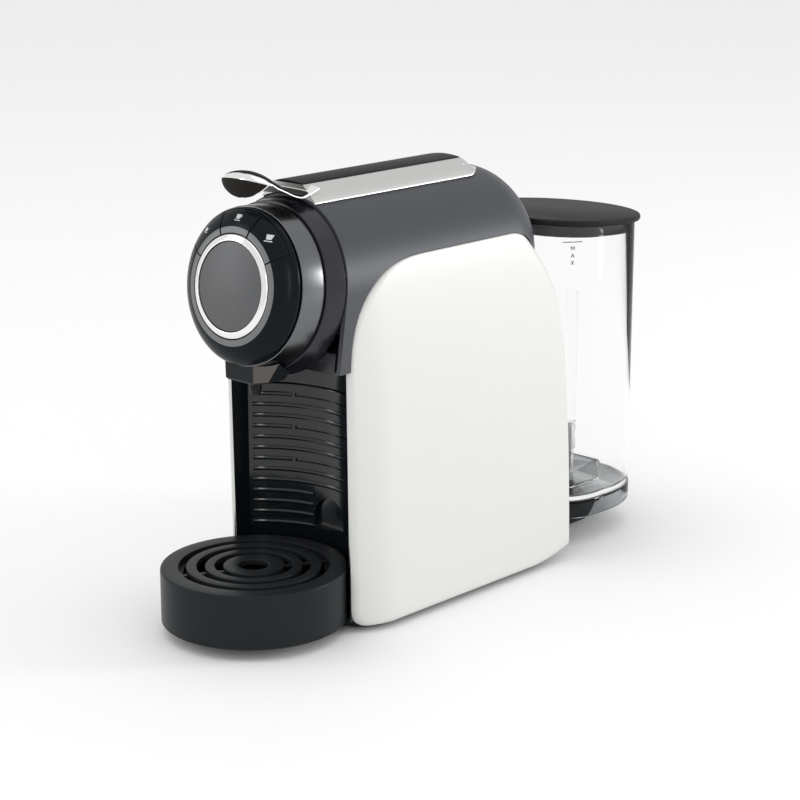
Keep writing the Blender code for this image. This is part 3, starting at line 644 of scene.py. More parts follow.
def arch_solid(radius, length, foot, front):
    """An arch along Y with straight legs and a domed end, square to the head at its front."""
    legs, turn, straight, dome = 6, 72, 16, 20

    def section(scale, y, tilt=False):
        points = [(radius * scale, y, foot + (HOOD_Z - foot) * i / legs) for i in range(legs)]
        points += [(x, y, z) for x, z in arc(0, HOOD_Z, radius * scale, 0, 180, turn)]
        points += [(-radius * scale, y, HOOD_Z - (HOOD_Z - foot) * (i + 1) / legs) for i in range(legs)]
        if tilt:
            points = [(x, y + (z - HOOD_Z) * math.tan(TILT), z) for x, _, z in points]
        return points

    rings = [section(1.0, front + (DOME_START - front) * i / straight, i <= 2) for i in range(straight + 1)]
    for i in range(1, dome):
        angle = math.pi / 2 * i / dome
        rings.append(section(math.cos(angle), DOME_START + length * math.sin(angle)))
    rings.append(section(0.02, DOME_START + length))
    return clean(loft(rings))


def rebate(side, grow):
    """The block that a side panel's place takes out of the hood."""
    line = panel_edge_line()
    points = [p + (p - PANEL_HEART).normalized() * grow for p in line]
    rings = [[(side * x, p.x, p.y) for p in points] for x in (47.3, 80.0)]
    return clean(loft(rings))


class COFFEE_OT_hood(bpy.types.Operator):
    """Build the slate hood with its domed rear end"""
    bl_idname = "coffee.hood"
    bl_label = "Hood"

    def execute(self, context):
        front = HEAD.y + PRESS.y * 31.5
        outside = arch_solid(HOOD_R, DOME_LENGTH, 168.0, front)
        inside = arch_solid(HOOD_R - 3.0, DOME_LENGTH - 3.0, 160.0, front - 20.0)
        slot = slab((-17, -64, 230), (17, -38, 262), 3.0)
        pocket = lathe([(0.0, -22.2), (6.8, -22.2), (6.8, 22.2), (0.0, 22.2)], 48)
        turn = Matrix.Translation(mm(0, PIVOT.y, PIVOT.z)) @ Matrix.Rotation(math.pi / 2, 4, "Y")
        bmesh.ops.transform(pocket, matrix=turn, verts=pocket.verts)
        for side in (-1, 1):
            near, far = sorted((side * (HOOD_R - 2.9), side * (HOOD_R - 0.02)))
            merge(outside, slab((near, front - 20.0, 156.6), (far, -100.0, 168.0)))
        trim = onto_head(slab((-80, -80, -31.5), (80, 80, 60.0)))
        work = carve(outside, inside, slot, pocket, trim, rebate(-1, 0.35), rebate(1, 0.35))
        finish("hood_shell", work, "hood", "machine", ["hood"], 40)
        return {"FINISHED"}


# ---------------------------------------------------------------- head

BEZEL_SLOPE = [(29.3, 8.2), (31.0, 8.15), (33.0, 7.75), (35.2, 7.0), (37.4, 5.9), (39.4, 4.7), (41.2, 3.35),
               (42.7, 1.9), (43.7, 0.6)]
BUTTON_ARC = (31.5, 153.3)
BUTTON_NAMES = ("right", "centre", "left")


def slope_height(radius):
    """Height of the bezel's front at a radius."""
    for (r0, h0), (r1, h1) in zip(BEZEL_SLOPE, BEZEL_SLOPE[1:]):
        if r0 <= radius <= r1:
            return h0 + (h1 - h0) * (radius - r0) / (r1 - r0)
    return BEZEL_SLOPE[0][1] if radius < BEZEL_SLOPE[0][0] else BEZEL_SLOPE[-1][1]


class COFFEE_OT_head(bpy.types.Operator):
    """Build the collar, metal band, bezel, chrome ring and badge"""
    bl_idname = "coffee.head"
    bl_label = "Head"

    def execute(self, context):
        start, end = BUTTON_ARC
        collar = rounded([(46.9, -18.9), (47.9, -18.9), (COLLAR, -30.4), (COLLAR, -31.2), (43.2, -31.2),
                          (43.2, -18.9)], [0.3, 0.7, 0.5, 0.3, 0, 0])
        work = onto_head(lathe(collar, 160))
        finish("collar_ring", work, "black", "machine", ["head_collar"], 30)
        band = rounded([(44.4, -3.2), (44.9, -3.4), (BAND, -18.3), (BAND - 0.4, -18.6), (42.6, -18.6),
                        (41.2, -3.2)], [0.2, 0.3, 0.3, 0, 0, 0])
        finish("metal_band", onto_head(lathe(band, 160)), "band", "machine", ["head_band"],
               30)
        face = [(0.0, 4.6), (29.4, 4.6)]
        rim = [(44.05, -0.2), (44.2, -0.9), (44.1, -1.6), (43.2, -2.0), (43.2, -3.0), (0.0, -3.0)]
        dished = face + BEZEL_SLOPE + rim
        plain = lathe(dished, 110, end, start + 360.0)
        sunk = face + [(29.4, -1.0), (43.2, -1.0), (43.2, 1.2), (43.7, 0.6)] + rim
        work = merge(plain, lathe(sunk, 60, start, end))
        merge(work, accent_arc(end + 0.6, start + 359.4, 80), 1)
        finish("bezel_cone", onto_head(work), ["bezel", "accent"], "machine", ["front_bezel"],
               30)
        ring = rounded([(BADGE + 0.2, 9.5), (RING + 0.2, 8.6), (RING + 0.2, 5.0), (BADGE + 0.2, 5.0)],
                       [0.5, 1.2, 0, 0], 8)
        finish("bright_ring", onto_head(lathe(ring, 160)), "chrome", "machine", ["chrome_ring"],
               60)
        disc = [(0.0, 9.0), (BADGE - 0.9, 8.9), (BADGE - 0.3, 8.7), (BADGE, 8.3), (BADGE, 5.0), (0.0, 5.0)]
        finish("plain_badge", onto_head(lathe(disc)), "badge", "machine", ["badge_disc"], 30)
        return {"FINISHED"}


def curved_key(start, end):
    """One arc-shaped button that follows the bezel's slope, with softened edges."""
    inner, outer = 29.7, 42.85
    steps = 34
    edge = 0.35
    trim = edge / 37.0
    across = [inner, inner + edge] + [inner + (outer - inner) * i / 12 for i in range(1, 12)]
    across += [outer - edge, outer]
    rings = []
    for i in range(-1, steps + 2):
        share = min(max(i, 0), steps) / steps
        angle = math.radians(start + (end - start) * share)
        drop_side = edge if i in (-1, steps + 1) else 0.0
        if i == 0:
            angle += trim
        if i == steps:
            angle -= trim
        top = []
        for k, r in enumerate(across):
            drop = edge if k in (0, len(across) - 1) else 0.0
            top.append((r, slope_height(r) - max(drop, drop_side)))
        profile = top + [(outer, 0.85), (inner, 0.85)]
        rings.append([(r * math.cos(angle), r * math.sin(angle), h) for r, h in profile])
    return clean(loft(rings, closed=True, caps=True))


def accent_arc(start, end, steps=30):
    """Lighter band along the inner edge of the bezel's slope."""
    radii = [29.75, 30.6, 31.5, 32.4, 33.3]
    top = [(r, slope_height(r) + 0.07) for r in radii]
    low_side = [(r, slope_height(r) - 0.4) for r in reversed(radii)]
    return lathe(top + low_side, steps, start, end)


def cup_icon(size, handle):
    """Flat cup drawing: a bowl, an optional handle, and a saucer line, as small raised plates."""
    plates = [[(-1.0, 0.75), (1.0, 0.75), (0.72, -0.55), (-0.72, -0.55)],
              [(-1.15, -0.85), (1.15, -0.85), (1.15, -1.1), (-1.15, -1.1)]]
    work = bmesh.new()
    for plate in plates:
        loft([[(x * size, y * size, h) for x, y in plate] for h in (0.0, 0.25)], work=work)
    if handle:
        loop = arc(size * 0.95, size * 0.2, size * 0.42, -80, 80, 8)
        hole = arc(size * 0.95, size * 0.2, size * 0.24, -80, 80, 8)
        outline = loop + hole[::-1]
        loft([[(x, y, h) for x, y in outline] for h in (0.0, 0.25)], work=work)
    return clean(work)


def on_slope(work, radius, angle):
    """Lay a small flat drawing on the bezel's slope at a radius and angle, upright to the viewer."""
    bearing = math.radians(angle)
    for vert in work.verts:
        x, y, h = vert.co / MM
        px = radius * math.cos(bearing) + x
        py = radius * math.sin(bearing) + y
        reach = math.hypot(px, py)
        vert.co = mm(px, py, slope_height(reach) - 0.12 + h)
    return work


class COFFEE_OT_buttons(bpy.types.Operator):
    """Build the three brew buttons with their accents and cup icons"""
    bl_idname = "coffee.buttons"
    bl_label = "Brew Buttons"

    def execute(self, context):
        first, last = BUTTON_ARC
        step = (last - first) / 3
        icons = ((2.1, False), (1.9, True), (1.5, True))
        for i, name in enumerate(BUTTON_NAMES):
            start = first + step * i + 0.45
            end = first + step * (i + 1) - 0.45
            work = curved_key(start, end)
            merge(work, accent_arc(start + 0.6, end - 0.6), 1)
            merge(work, on_slope(cup_icon(*icons[i]), 38.6, (start + end) / 2), 2)
            finish(f"{name}_key", onto_head(work), ["bezel", "accent", "icon"], f"button_{name}",
                   [f"brew_button_{name}"], 30)
        return {"FINISHED"}


# ---------------------------------------------------------------- lever

def lever_section(y, foot, top_z):
    """Cross-section of the lever's body: sloping flanks, a flat rebated top and an arched underside."""
    half = 21.0
    under = HOOD_R + 0.7
    points = []
    for i in range(13):
        x = -19.4 + 38.8 * i / 12
        points.append((x, y, HOOD_Z + math.sqrt(under ** 2 - x ** 2)))
    points += [(20.2, y, foot - 0.2), (half, y, foot + 0.4), (half - 0.25, y, foot + 1.4)]
    points += [(16.4, y, foot + 5.9), (12.5, y, top_z - 0.7), (11.7, y, top_z), (-11.7, y, top_z)]
    points += [(-12.5, y, top_z - 0.7), (-16.4, y, foot + 5.9), (-half + 0.25, y, foot + 1.4),
               (-half, y, foot + 0.4), (-20.2, y, foot - 0.2)]
    return points


TONGUE_LINE = [(-99.0, 256.0), (-106.0, 253.6), (-111.5, 253.0), (-117.0, 255.2), (-123.0, 259.2),
               (-129.0, 263.2), (-133.6, 265.8), (-137.4, 266.4), (-140.4, 264.6), (-141.9, 261.2),
               (-142.2, 257.4), (-141.4, 253.6)]


def smooth_line(points, count):
    """A Catmull-Rom curve through points, evenly sampled by segment."""
    spots = [Vector(points[0])] + [Vector(p) for p in points] + [Vector(points[-1])]
    out = []
    spans = len(points) - 1
    for i in range(count + 1):
        place = min(i / count * spans, spans - 1e-9)
        k = int(place)
        t = place - k
        a, b, c, d = spots[k:k + 4]
        out.append(0.5 * ((2 * b) + (c - a) * t + (2 * a - 5 * b + 4 * c - d) * t ** 2
                          + (3 * b - a - 3 * c + d) * t ** 3))
    return out


def tongue_sheet(half, thick, lift=0.0, first=0.0, last=1.0, corner=12.5):
    """The lever's lip: an arched plate that rises, rolls over and ends in a rounded flap."""
    line = smooth_line(TONGUE_LINE, 72)
    total = len(line) - 1
    marks = [0.0]
    for a, b in zip(line, line[1:]):
        marks.append(marks[-1] + (b - a).length)
    begin, end = round(first * total), round(last * total)
    rings = []
    for i in range(begin, end + 1):
        run = (line[min(i + 1, total)] - line[max(i - 1, 0)]).normalized()
        up = Vector((run.y, -run.x))
        left = max(marks[end] - marks[i], 0.0)
        wide = half * math.sqrt(max(1.0 - max(1.0 - left / corner, 0.0) ** 2, 0.0))
        arch = 4.4 * min(max(marks[i] / marks[-1] * 2.2 - 0.25, 0.12), 1.0)
        section = []
        for sign, order in ((1.0, range(17)), (-1.0, range(16, -1, -1))):
            for k in order:
                x = -wide + 2 * wide * k / 16
                edge = thick * 0.5 * (0.3 if k in (0, 16) else (0.85 if k in (1, 15) else 1.0))
                p = line[i] + up * (lift - arch * (x / 19.0) ** 2 + sign * edge)
                section.append((x, p.x, p.y))
        rings.append(section)
    return clean(loft(rings))


class COFFEE_OT_lever(bpy.types.Operator):
    """Build the lever with its curled lip, its dark inlay, and painted dark reflection and a painted
    highlight on the lip
    """
    bl_idname = "coffee.lever"
    bl_label = "Lever"

    def execute(self, context):
        sizes = context.scene.machine_sizes
        foot, top = 247.0, 257.2
        back = PIVOT.y
        radius = 6.2
        ys = [-104.8, -104.3] + [-100.0 + (back + 100.0) * i / 10 for i in range(11)]
        rings = [lever_section(y, foot, top) for y in ys]
        for i in range(1, 10):
            angle = math.pi / 2 * i / 9
            y = back + radius * math.sin(angle)
            shrink = 1.0 - math.cos(angle)
            squeeze = max(math.cos(angle), 0.12)
            rings.append([(x * (1 - 0.05 * shrink), y, PIVOT.z + (z - PIVOT.z) * squeeze)
                          for x, _, z in lever_section(y, foot, top)])
        work = clean(loft(rings))
        knuckle_room = slab((-6.4, PIVOT.y - 4.9, 240), (6.4, PIVOT.y + 20, PIVOT.z + 3.4))
        work = carve(work, knuckle_room)
        merge(work, tongue_sheet(19.0, sizes.lever_skin / MM), 1)
        finish("lever_body", work, ["silver", "lever_chrome"], "lever_arm", ["lever"], 38)
        crown = 59.2
        strip = []
        for i in range(17):
            x = -11.2 + 22.4 * i / 16
            strip.append((x, HOOD_Z + math.sqrt(crown ** 2 - x ** 2) - (0.25 if i in (0, 16) else 0.0)))
        strip += [(11.2, 257.35), (-11.2, 257.35)]
        ends = ((-104.4, 0.99, 0.1), (-103.8, 1.0, 0.0), (PIVOT.y - 1.0, 1.0, 0.0),
                (PIVOT.y + 1.4, 0.99, 0.15), (PIVOT.y + 3.0, 0.96, 0.55))
        rings = [[(x * scale, y, max(z - drop, 257.0)) for x, z in strip] for y, scale, drop in ends]
        inlay = clean(loft(rings))
        # Dark sheets over the lip: partly its dark inlay, partly painted dark reflection. The bare chrome
        # gap between them at the crest, 0.66 to 0.76 along the lip, is a painted highlight band.
        merge(inlay, tongue_sheet(17.6, 0.8, 1.0, 0.10, 0.66, 3.0))
        merge(inlay, tongue_sheet(18.2, 0.8, 1.0, 0.76, 0.985, 11.0))
        finish("lever_inlay_and_lip_reflection", inlay, "inlay", "lever_arm", ["lever_inlay"], 35)
        return {"FINISHED"}


# ---------------------------------------------------------------- spout

class COFFEE_OT_spout(bpy.types.Operator):
    """Build the spout shield and its nozzle"""
    bl_idname = "coffee.spout"
    bl_label = "Spout"

    def execute(self, context):
        front, back = low("spout_shield", 1), high("spout_shield", 1)
        levels = ((166.0, 26.0), (158.0, 20.6), (150.4, 15.5), (149.2, 14.4))
        rings = []
        for z, wide in levels:
            tuck = 0.9 if z < 150.0 else 0.0
            side = wide - tuck * 0.6
            nose = 11.2 - tuck
            cheek = front + 7.4 + (wide - 14.4) * 0.1
            rings.append([(-nose, front + tuck, z), (nose, front + tuck, z), (side, cheek, z),
                          (side, back, z), (-side, back, z), (-side, cheek, z)])
        work = clean(loft(rings))
        seat = onto_head(lathe([(0.0, 12.0), (44.5, 12.0), (44.5, -2.0), (COLLAR + 0.3, -31.2),
                                (COLLAR + 0.3, -60.0), (0.0, -60.0)], 128))
        work = carve(work, seat)
        for face in work.faces:
            aside, ahead, up = face.normal
            face.material_index = int(0.35 < abs(aside) < 0.92 and ahead < -0.3 and up < 0.3)
        finish("spout_cowl", work, ["charcoal", "facet"], "machine", ["spout_shield"], 30)
        x, y, _ = middle("spout_nozzle")
        z0, z1 = low("spout_nozzle", 2), high("spout_nozzle", 2)
        tip = rounded([(3.6, z1), (3.6, z0 + 3.5), (2.7, z0), (1.7, z0), (1.7, z0 + 4.0), (0.0, z0 + 4.0),
                       (0.0, z1)], [0, 0.6, 0.5, 0.3, 0.3, 0, 0], 4)
        work = shift(lathe(tip, 48), Vector((x, y, 0)))
        finish("spout_tip", work, "charcoal", "machine", ["spout_nozzle"], 35)
        return {"FINISHED"}


# ---------------------------------------------------------------- column and pod bin front

def hollow_wall(half, radius, thick, z0, z1, edge=1.0):
    """A wall with a hollow front struck round the tray's axis, its edges rounded."""
    swing = math.degrees(math.acos(half / radius))
    section = rounded([(radius, z0), (radius, z1), (radius + thick, z1), (radius + thick, z0)],
                      [edge, edge, 0.3, 0.3], 4)
    return shift(lathe(section, 60, 180.0 - swing, swing), TRAY)


def rib_tree(finish_name):
    """Round-ended bars on a hollow wall: an arc swept with a flat oval and stacked up in steps."""
    tree, given, out = group(
        "Stacked Ribs", "GeometryNodeTree",
        {"Count": 12, "Pitch": 0.0064, "Radius": 0.063, "Start": 0.8, "Sweep": 1.4, "Height": 0.0007},
        {"Geometry": "NodeSocketGeometry"})
    line = node(tree, "GeometryNodeCurveArc", (-700, 300), mode="RADIUS", Resolution=120)
    along = node(tree, "GeometryNodeSplineParameter", (-700, 100))
    ends = node(tree, "ShaderNodeMath", (-520, 100), operation="PINGPONG")
    ends.inputs[1].default_value = 0.5
    taper = node(tree, "ShaderNodeFloatCurve", (-350, 100))
    curve = taper.mapping.curves[0]
    curve.points[0].location = (0.0, 0.15)
    curve.points[1].location = (1.0, 1.0)
    curve.points.new(0.006, 0.62)
    curve.points.new(0.022, 1.0)
    taper.mapping.update()
    swell = node(tree, "GeometryNodeSetCurveRadius", (-100, 300))
    section = node(tree, "GeometryNodeCurvePrimitiveCircle", (-700, -150), mode="RADIUS", Resolution=12)
    flat = node(tree, "GeometryNodeTransform", (-350, -150), Scale=(1.0, 1.9, 1.0))
    sweep = node(tree, "GeometryNodeCurveToMesh", (150, 150))
    sweep.inputs["Fill Caps"].default_value = True
    stack = node(tree, "GeometryNodeMeshLine", (150, -150))
    step = node(tree, "ShaderNodeCombineXYZ", (-100, -300))
    place = node(tree, "GeometryNodeInstanceOnPoints", (400, 0))
    real = node(tree, "GeometryNodeRealizeInstances", (620, 0))
    paint = node(tree, "GeometryNodeSetMaterial", (850, 0))
    paint.inputs["Material"].default_value = finish_name
    wire(
        tree,
        (given, "Radius", line, "Radius"), (given, "Start", line, "Start Angle"),
        (given, "Sweep", line, "Sweep Angle"), (given, "Height", section, "Radius"),
        (along, "Factor", ends, 0), (ends, 0, taper, "Value"), (line, "Curve", swell, "Curve"),
        (taper, "Value", swell, "Radius"), (section, "Curve", flat, "Geometry"),
        (swell, "Curve", sweep, "Curve"), (flat, "Geometry", sweep, "Profile Curve"),
        (given, "Count", stack, "Count"), (given, "Pitch", step, "Z"), (step, 0, stack, "Offset"),
        (stack, "Mesh", place, "Points"), (sweep, "Mesh", place, "Instance"),
        (place, "Instances", real, "Geometry"), (real, "Geometry", paint, "Geometry"),
        (paint, "Geometry", out, "Geometry"))
    return tree


def bearing(x):
    """Angle round the tray's axis of the column's face at a distance to the side."""
    return math.acos(x / COLUMN_R)


class COFFEE_OT_column(bpy.types.Operator):
    """Build the black column frame and the ribbed front of the pod bin"""
    bl_idname = "coffee.column"
    bl_label = "Column"

    def execute(self, context):
        sizes = context.scene.machine_sizes
        self.frame_walls()
        z0, z1 = low("bin_front", 2), high("bin_front", 2)
        grooves = []
        pitch = sizes.rib_pitch / MM
        top = z1 - 6.6
        near, far, half = COLUMN_R - 1.0, COLUMN_R + 1.3, 1.1
        for z in (top, top - 3 * pitch, top - 6 * pitch):
            profile = [(near, z - half), (far, z - half), (far, z + half), (near, z + half)]
            sector = lathe(profile, 60, math.degrees(bearing(46.0)), math.degrees(bearing(-24.0)))
            grooves.append(shift(sector, TRAY))
        grooves.append(self.thumb_recess())
        wall = carve(hollow_wall(47.0, COLUMN_R, 3.0, z0, z1), *grooves)
        tree = rib_tree(palette()["column"])
        rows = [(3, 3 * pitch, top - pitch * i, right) for i, right in enumerate((-26.0, 43.0, 43.0))]
        rows.append((sizes.rib_count - 9, pitch, top - 9 * pitch, -12.5))
        for count, gap, first, right in rows:
            ribs = grow_tree("bin_ribs", tree, {
                "Count": count, "Pitch": -gap * MM, "Radius": COLUMN_R * MM, "Start": bearing(right),
                "Sweep": bearing(-45.4) - bearing(right), "Height": sizes.rib_height})
            ribs.transform(Matrix.Translation(mm(0, TRAY.y, first)))
            wall.from_mesh(ribs)
            bpy.data.meshes.remove(ribs)
        finish("bin_door", wall, "column", "drawer", ["bin_front"], 35)
        return {"FINISHED"}

    def thumb_recess(self):
        """The arched scoop that a thumb pulls the bin out by."""
        outline = arc(0.0, 52.0, 11.5, 0, 180, 24) + [(-11.5, 46.0), (11.5, 46.0)]
        deep = TRAY.y + COLUMN_R + 1.8
        mouth = [(x * 1.1, deep - 12.0, z) for x, z in outline]
        return clean(loft([[(x, deep, z) for x, z in outline], mouth]))

    def frame_walls(self):
        """The frame above the bin, and the thin cheeks that line the panels beside it."""
        top, bottom = high("front_frame", 2), low("front_frame", 2)
        front, rear = low("front_frame", 1), high("front_frame", 1)
        work = hollow_wall(48.4, COLUMN_R, 3.0, high("bin_front", 2) + 0.35, top, 0.6)
        for side in (-1, 1):
            near, far = sorted((side * 47.3, side * 48.4))
            merge(work, slab((near, front, bottom), (far, rear, top), 0.3, 2))
        back = slab((-47.2, rear - 2.0, bottom), (47.2, rear, top), 0.3, 2)
        finish("column_frame", merge(work, back), "column", "machine", ["front_frame"], 35)


# ---------------------------------------------------------------- drip tray and grille

class COFFEE_OT_tray(bpy.types.Operator):
    """Build the round drip tray and its ringed grille"""
    bl_idname = "coffee.tray"
    bl_label = "Drip Tray"

    def execute(self, context):
        top, bottom = TRAY_TOP, TRAY_FLOOR
        outline = [(0.0, bottom + 2.5), (51.2, bottom + 2.5), (51.2, top - 6.0), (41.0, top - 6.0),
                   (41.0, top - 4.0), (43.5, top - 4.0), (43.5, top), (TRAY_R, top), (TRAY_R, bottom),
                   (0.0, bottom)]
        profile = rounded(outline, [0, 2.0, 1.0, 0.2, 0.2, 0.1, 0.5, 1.6, 1.2, 0], 5)
        work = lathe(profile, 160)
        tab = slab((-28, TRAY.y + 49, 7.3), (28, high("drip_tray", 1), 9.3), 0.4, 2)
        shift(work, TRAY)
        merge(work, tab)
        finish("tray_bowl", work, "charcoal", "drawer", ["drip_tray"], 30)
        work = bmesh.new()
        for outer, inner in ((39.0, 33.0), (28.2, 22.5), (17.7, 8.7)):
            outline = [(inner, top), (outer, top), (outer, 35.7), (inner, 35.7)]
            ring = rounded(outline, [0.6, 0.6, 0.2, 0.2], 4)
            merge(work, lathe(ring, 128))
        for i in range(6):
            spoke = slab((9.5, -1.5, 35.4), (43.0, 1.5, 36.9), 0.2, 1)
            bmesh.ops.rotate(spoke, verts=spoke.verts, matrix=Matrix.Rotation(i * math.pi / 3, 3, "Z"))
            merge(work, spoke)
        shift(work, TRAY)
        finish("ring_grille", work, "charcoal", "grille", ["drip_grille"], 30)
        return {"FINISHED"}


# ---------------------------------------------------------------- water tank and lid

def tank_ring(grow, z, slope=0.0):
    """The tank's D shape at a height; slope lifts the front, as the mouth and lid do."""
    radius = TANK_R + grow
    front = TANK_FRONT - grow
    corner = TANK_CORNER + grow
    line = arc(0, TANK_Y, radius, 0, 180, 72)
    line += arc(-radius + corner, front + corner, corner, 180, 270, 24)
    line += arc(radius - corner, front + corner, corner, 270, 360, 24)
    return [(x, y, z + slope * (TANK_BACK - y)) for x, y in line]


def tank_stack(levels):
    """Skin a list of (grow, z, slope)."""
    return clean(loft([tank_ring(*level) for level in levels]))


def fill_mark():
    """The level line and the letters MAX below it, as thin plates on the tank's corner."""
    work = bmesh.new()

    def stroke(along, start, end, wide=0.42):
        """A thin plate between two (across, height) points, wrapped on the corner at an angle."""
        a, b = Vector(start), Vector(end)
        side = Vector((a.y - b.y, b.x - a.x)).normalized() * wide / 2
        steps = 6
        rings = []
        for i in range(steps + 1):
            p = a.lerp(b, i / steps)
            ring = []
            for q, out in ((p + side, 0.16), (p - side, 0.16), (p - side, 0.02), (p + side, 0.02)):
                angle = math.radians(along) + q.x / TANK_CORNER
                ring.append((TANK_R - TANK_CORNER + (TANK_CORNER + out) * math.cos(angle),
                             TANK_FRONT + TANK_CORNER + (TANK_CORNER + out) * math.sin(angle), q.y))
            rings.append(ring)
        merge(work, clean(loft(rings)))

    stroke(-36.0, (-6.4, 199.4), (6.2, 199.4), 0.5)
    letters = {
        194.2: (((-1.0, 0), (-1.0, 2.5)), ((-1.0, 2.5), (0.0, 0.9)), ((0.0, 0.9), (1.0, 2.5)),
                ((1.0, 2.5), (1.0, 0))),
        189.6: (((-1.0, 0), (0.0, 2.5)), ((0.0, 2.5), (1.0, 0)), ((-0.6, 0.9), (0.6, 0.9))),
        185.0: (((-0.9, 0), (0.9, 2.5)), ((-0.9, 2.5), (0.9, 0))),
    }
    for foot, strokes in letters.items():
        for (x0, z0), (x1, z1) in strokes:
            stroke(-36.0, (x0, foot + z0), (x1, foot + z1))
    return work


class COFFEE_OT_tank(bpy.types.Operator):
    """Build the clear water tank, its smoky base and the fittings inside"""
    bl_idname = "coffee.tank"
    bl_label = "Water Tank"

    def execute(self, context):
        wall = context.scene.machine_sizes.tank_wall / MM
        z0 = low("water_tank", 2)
        m, s = MOUTH_LOW, MOUTH_SLOPE
        work = tank_stack([
            (-2.0, z0, 0), (-0.6, z0 + 0.4, 0), (0, z0 + 1.8, 0), (0, m - 0.5, s), (-0.3, m, s),
            (-wall + 0.3, m, s), (-wall, m - 0.5, s), (-wall, z0 + 4.0, 0), (-wall - 1.6, z0 + 2.2, 0),
            (-wall - 4.0, z0 + 1.8, 0)])
        finish("clear_tank", work, "clear", "tank", ["water_tank"], 40)
        b0, b1 = low("tank_base", 2), high("tank_base", 2)
        work = tank_stack([(-3.0, b1 - 2.6, 0), (-3.0, b0, 0), (-0.5, b0, 0), (0.5, b0 + 1.0, 0),
                           (0.6, b1 - 1.0, 0), (0.0, b1, 0)])
        finish("smoky_base", work, "smoke", "tank", ["tank_base"], 35)
        self.fittings(z0)
        return {"FINISHED"}

    def fittings(self, z0):
        """The clear well, guide and float that stand on the tank's floor, and the fill mark."""
        room = slab((-22.6, 99.4, z0 + 3), (28.6, 148.6, z0 + 30), 1.5, 3)
        well = carve(slab((-24, 98, z0 + 1.9), (30, 150, z0 + 16), 2.5, 4), room)
        finish("tank_well", well, "clear", "tank")
        outline = [(0.0, z0 + 35.5), (3.9, z0 + 35.5), (3.9, z0 + 121), (0.0, z0 + 121)]
        guide = rounded(outline, [0, 1.0, 2.4, 0], 5)
        work = shift(lathe(guide, 32), Vector((3, 151, 0)))
        finish("tank_guide", work, "clear", "tank")
        block = slab((0.0, 148.5, z0 + 18), (6.6, 153.5, z0 + 34.5), 0.8, 3)
        merge(block, slab((1.0, 149.5, z0 + 1.9), (5.6, 152.5, z0 + 18.5), 0.3, 2))
        finish("tank_float", block, "white_part", "tank")
        finish("fill_mark", fill_mark(), "mark", "tank")


class COFFEE_OT_tank_lid(bpy.types.Operator):
    """Build the tank lid with its collar"""
    bl_idname = "coffee.tank_lid"
    bl_label = "Tank Lid"

    def execute(self, context):
        m, s = MOUTH_LOW + 0.3, MOUTH_SLOPE
        thick = 4.2
        reach = high("tank_lid", 0) - TANK_R
        levels = [(-4.0, m, s), (reach - 1.6, m, s), (reach - 0.5, m + 0.5, s), (reach, m + 1.6, s),
                  (reach, m + 2.6, s), (reach - 0.5, m + 3.7, s), (reach - 1.8, m + thick, s)]
        work = clean(loft([clip_front(tank_ring(*level)) for level in levels]))
        finish("lid_plate", work, "lid", "lid", ["tank_lid"], 35)
        low_z = m - 7.2
        work = tank_stack([(-4.5, m - 0.5, s), (-4.5, low_z, s), (-2.6, low_z, s), (-2.3, low_z + 0.5, s),
                           (-2.3, m - 0.5, s)])
        finish("lid_skirt", work, "dark_smoke", "lid", ["lid_collar"], 35)
        return {"FINISHED"}


def clip_front(ring):
    """Keep the lid's front edge clear of the hood."""
    limit = low("tank_lid", 1)
    return [(x, max(y, limit), z) for x, y, z in ring]


# ---------------------------------------------------------------- parts kept from the frame

KEPT = {
    "charcoal": ("base_plate", "capsule_bin", "pod_chute", "lever_knuckle", "tank_support"),
    "black": ("head_underside",),
    "grey": ("rear_cover", "brew_rail_left", "brew_rail_right", "brew_block", "thermoblock_seat",
             "bulkhead", "tank_valve"),
    "rubber": ("foot_front_left", "foot_front_right", "foot_rear_left", "foot_rear_right", "foot_tray",
               "foot_tank", "pump_mount", "pump_hose", "inlet_hose", "outlet_tube", "tank_socket",
               "cord_gland"),
    "steel": ("base_screw_left", "base_screw_right", "lever_pin", "brew_piston", "pump"),
    "cast": ("thermoblock",),
    "board": ("button_board", "control_board"),
}


class COFFEE_OT_inner_parts(bpy.types.Operator):
    """Give the parts kept from the frame their finishes"""
    bl_idname = "coffee.inner_parts"
    bl_label = "Inner Parts"

    def execute(self, context):
        tones = palette()
        for key, names in KEPT.items():
            for name in names:
                part = frame["nodes"][name]
                part.data.materials.clear()
                part.data.materials.append(tones[key])
        return {"FINISHED"}


# ---------------------------------------------------------------- floor, light and camera

VIEW_TURN = math.radians(42.70)
VIEW_RISE = math.radians(15.28)
VIEW_PLACE = (0.87497, -0.96051, 0.46478)
VIEW_LENS = 99.0


def soft_light(name, place, aim, size, power, tint=(1.0, 1.0, 1.0)):
    lamp = bpy.data.lights.new(name, "AREA")
    lamp.shape = "RECTANGLE"
    lamp.size, lamp.size_y = size
    lamp.energy = power
    lamp.color = tint
    made = bpy.data.objects.new(name, lamp)
    made.location = place
    made.rotation_euler = (Vector(aim) - Vector(place)).to_track_quat("-Z", "Y").to_euler()
    bpy.context.scene.collection.objects.link(made)
    return made


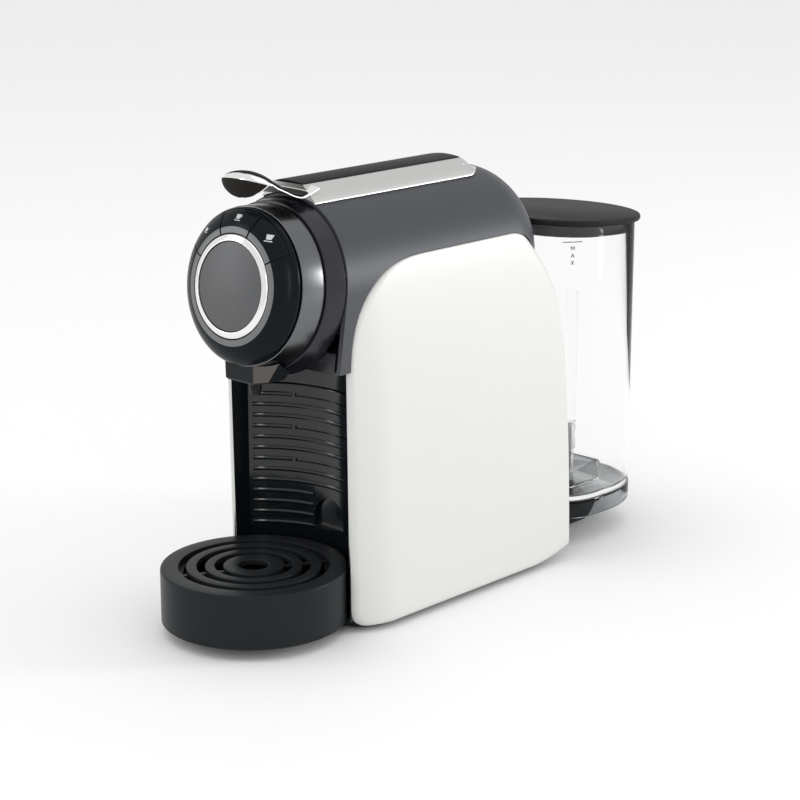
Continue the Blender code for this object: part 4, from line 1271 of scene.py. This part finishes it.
class COFFEE_OT_stage(bpy.types.Operator):
    """Lay the pale floor and place the lights and the camera"""
    bl_idname = "coffee.stage"
    bl_label = "Stage"

    def execute(self, context):
        scene = context.scene
        scene.view_settings.view_transform = "Standard"
        bpy.ops.mesh.primitive_plane_add(size=16.0, location=(0, 0, 0))
        floor = context.object
        floor.name = "pale_floor"
        floor.data.materials.append(skin("pale_floor", (0.95, 0.95, 0.95), 0.7, 40, 0.02, 0.03, 0.01,
                                         Specular_IOR_Level=0.2))
        world = bpy.data.worlds.new("studio")
        world.use_nodes = True
        world.node_tree.nodes["Background"].inputs["Color"].default_value = (1.0, 1.0, 1.0, 1.0)
        world.node_tree.nodes["Background"].inputs["Strength"].default_value = 0.88
        scene.world = world
        aim = (0.0, 0.0, 0.13)
        soft_light("overhead", (0.2, -0.4, 2.6), aim, (3.0, 2.6), 9)
        soft_light("box_back_right", (1.40, 1.45, 0.50), (0.0, -0.05, 0.2), (0.34, 0.5), 13)
        soft_light("strip_front", (1.20, -1.75, 0.75), aim, (0.22, 1.1), 4)
        soft_light("strip_left", (-1.3, -1.3, 0.7), aim, (0.3, 1.2), 3)
        lens = bpy.data.cameras.new("view")
        lens.lens = VIEW_LENS
        lens.sensor_width = 36.0
        eye = bpy.data.objects.new("view", lens)
        eye.location = VIEW_PLACE
        eye.rotation_euler = (math.pi / 2 - VIEW_RISE, 0.0, VIEW_TURN)
        scene.collection.objects.link(eye)
        scene.camera = eye
        return {"FINISHED"}


class COFFEE_PT_machine(bpy.types.Panel):
    bl_idname = "COFFEE_PT_machine"
    bl_label = "Pod Coffee Machine"
    bl_space_type = "VIEW_3D"
    bl_region_type = "UI"
    bl_category = "Coffee"

    def draw(self, context):
        layout = self.layout
        for settings in (context.scene.machine_sizes, context.scene.machine_colours):
            box = layout.box()
            for name in settings.__annotations__:
                box.prop(settings, name)
        for step in STEPS:
            layout.operator(step.bl_idname)


STEPS = (COFFEE_OT_stage, COFFEE_OT_side_panels, COFFEE_OT_hood, COFFEE_OT_head, COFFEE_OT_buttons,
         COFFEE_OT_lever, COFFEE_OT_spout, COFFEE_OT_column, COFFEE_OT_tray, COFFEE_OT_tank,
         COFFEE_OT_tank_lid, COFFEE_OT_inner_parts)
CLASSES = (MachineSizes, MachineColours) + STEPS + (COFFEE_PT_machine,)


def register():
    for item in CLASSES:
        bpy.utils.register_class(item)
    bpy.types.Scene.machine_sizes = bpy.props.PointerProperty(type=MachineSizes)
    bpy.types.Scene.machine_colours = bpy.props.PointerProperty(type=MachineColours)


def unregister():
    del bpy.types.Scene.machine_sizes
    del bpy.types.Scene.machine_colours
    for item in reversed(CLASSES):
        bpy.utils.unregister_class(item)


def main():
    register()
    for step in STEPS:
        family, action = step.bl_idname.split(".")
        getattr(getattr(bpy.ops, family), action)()


if __name__ == "__main__":
    main()
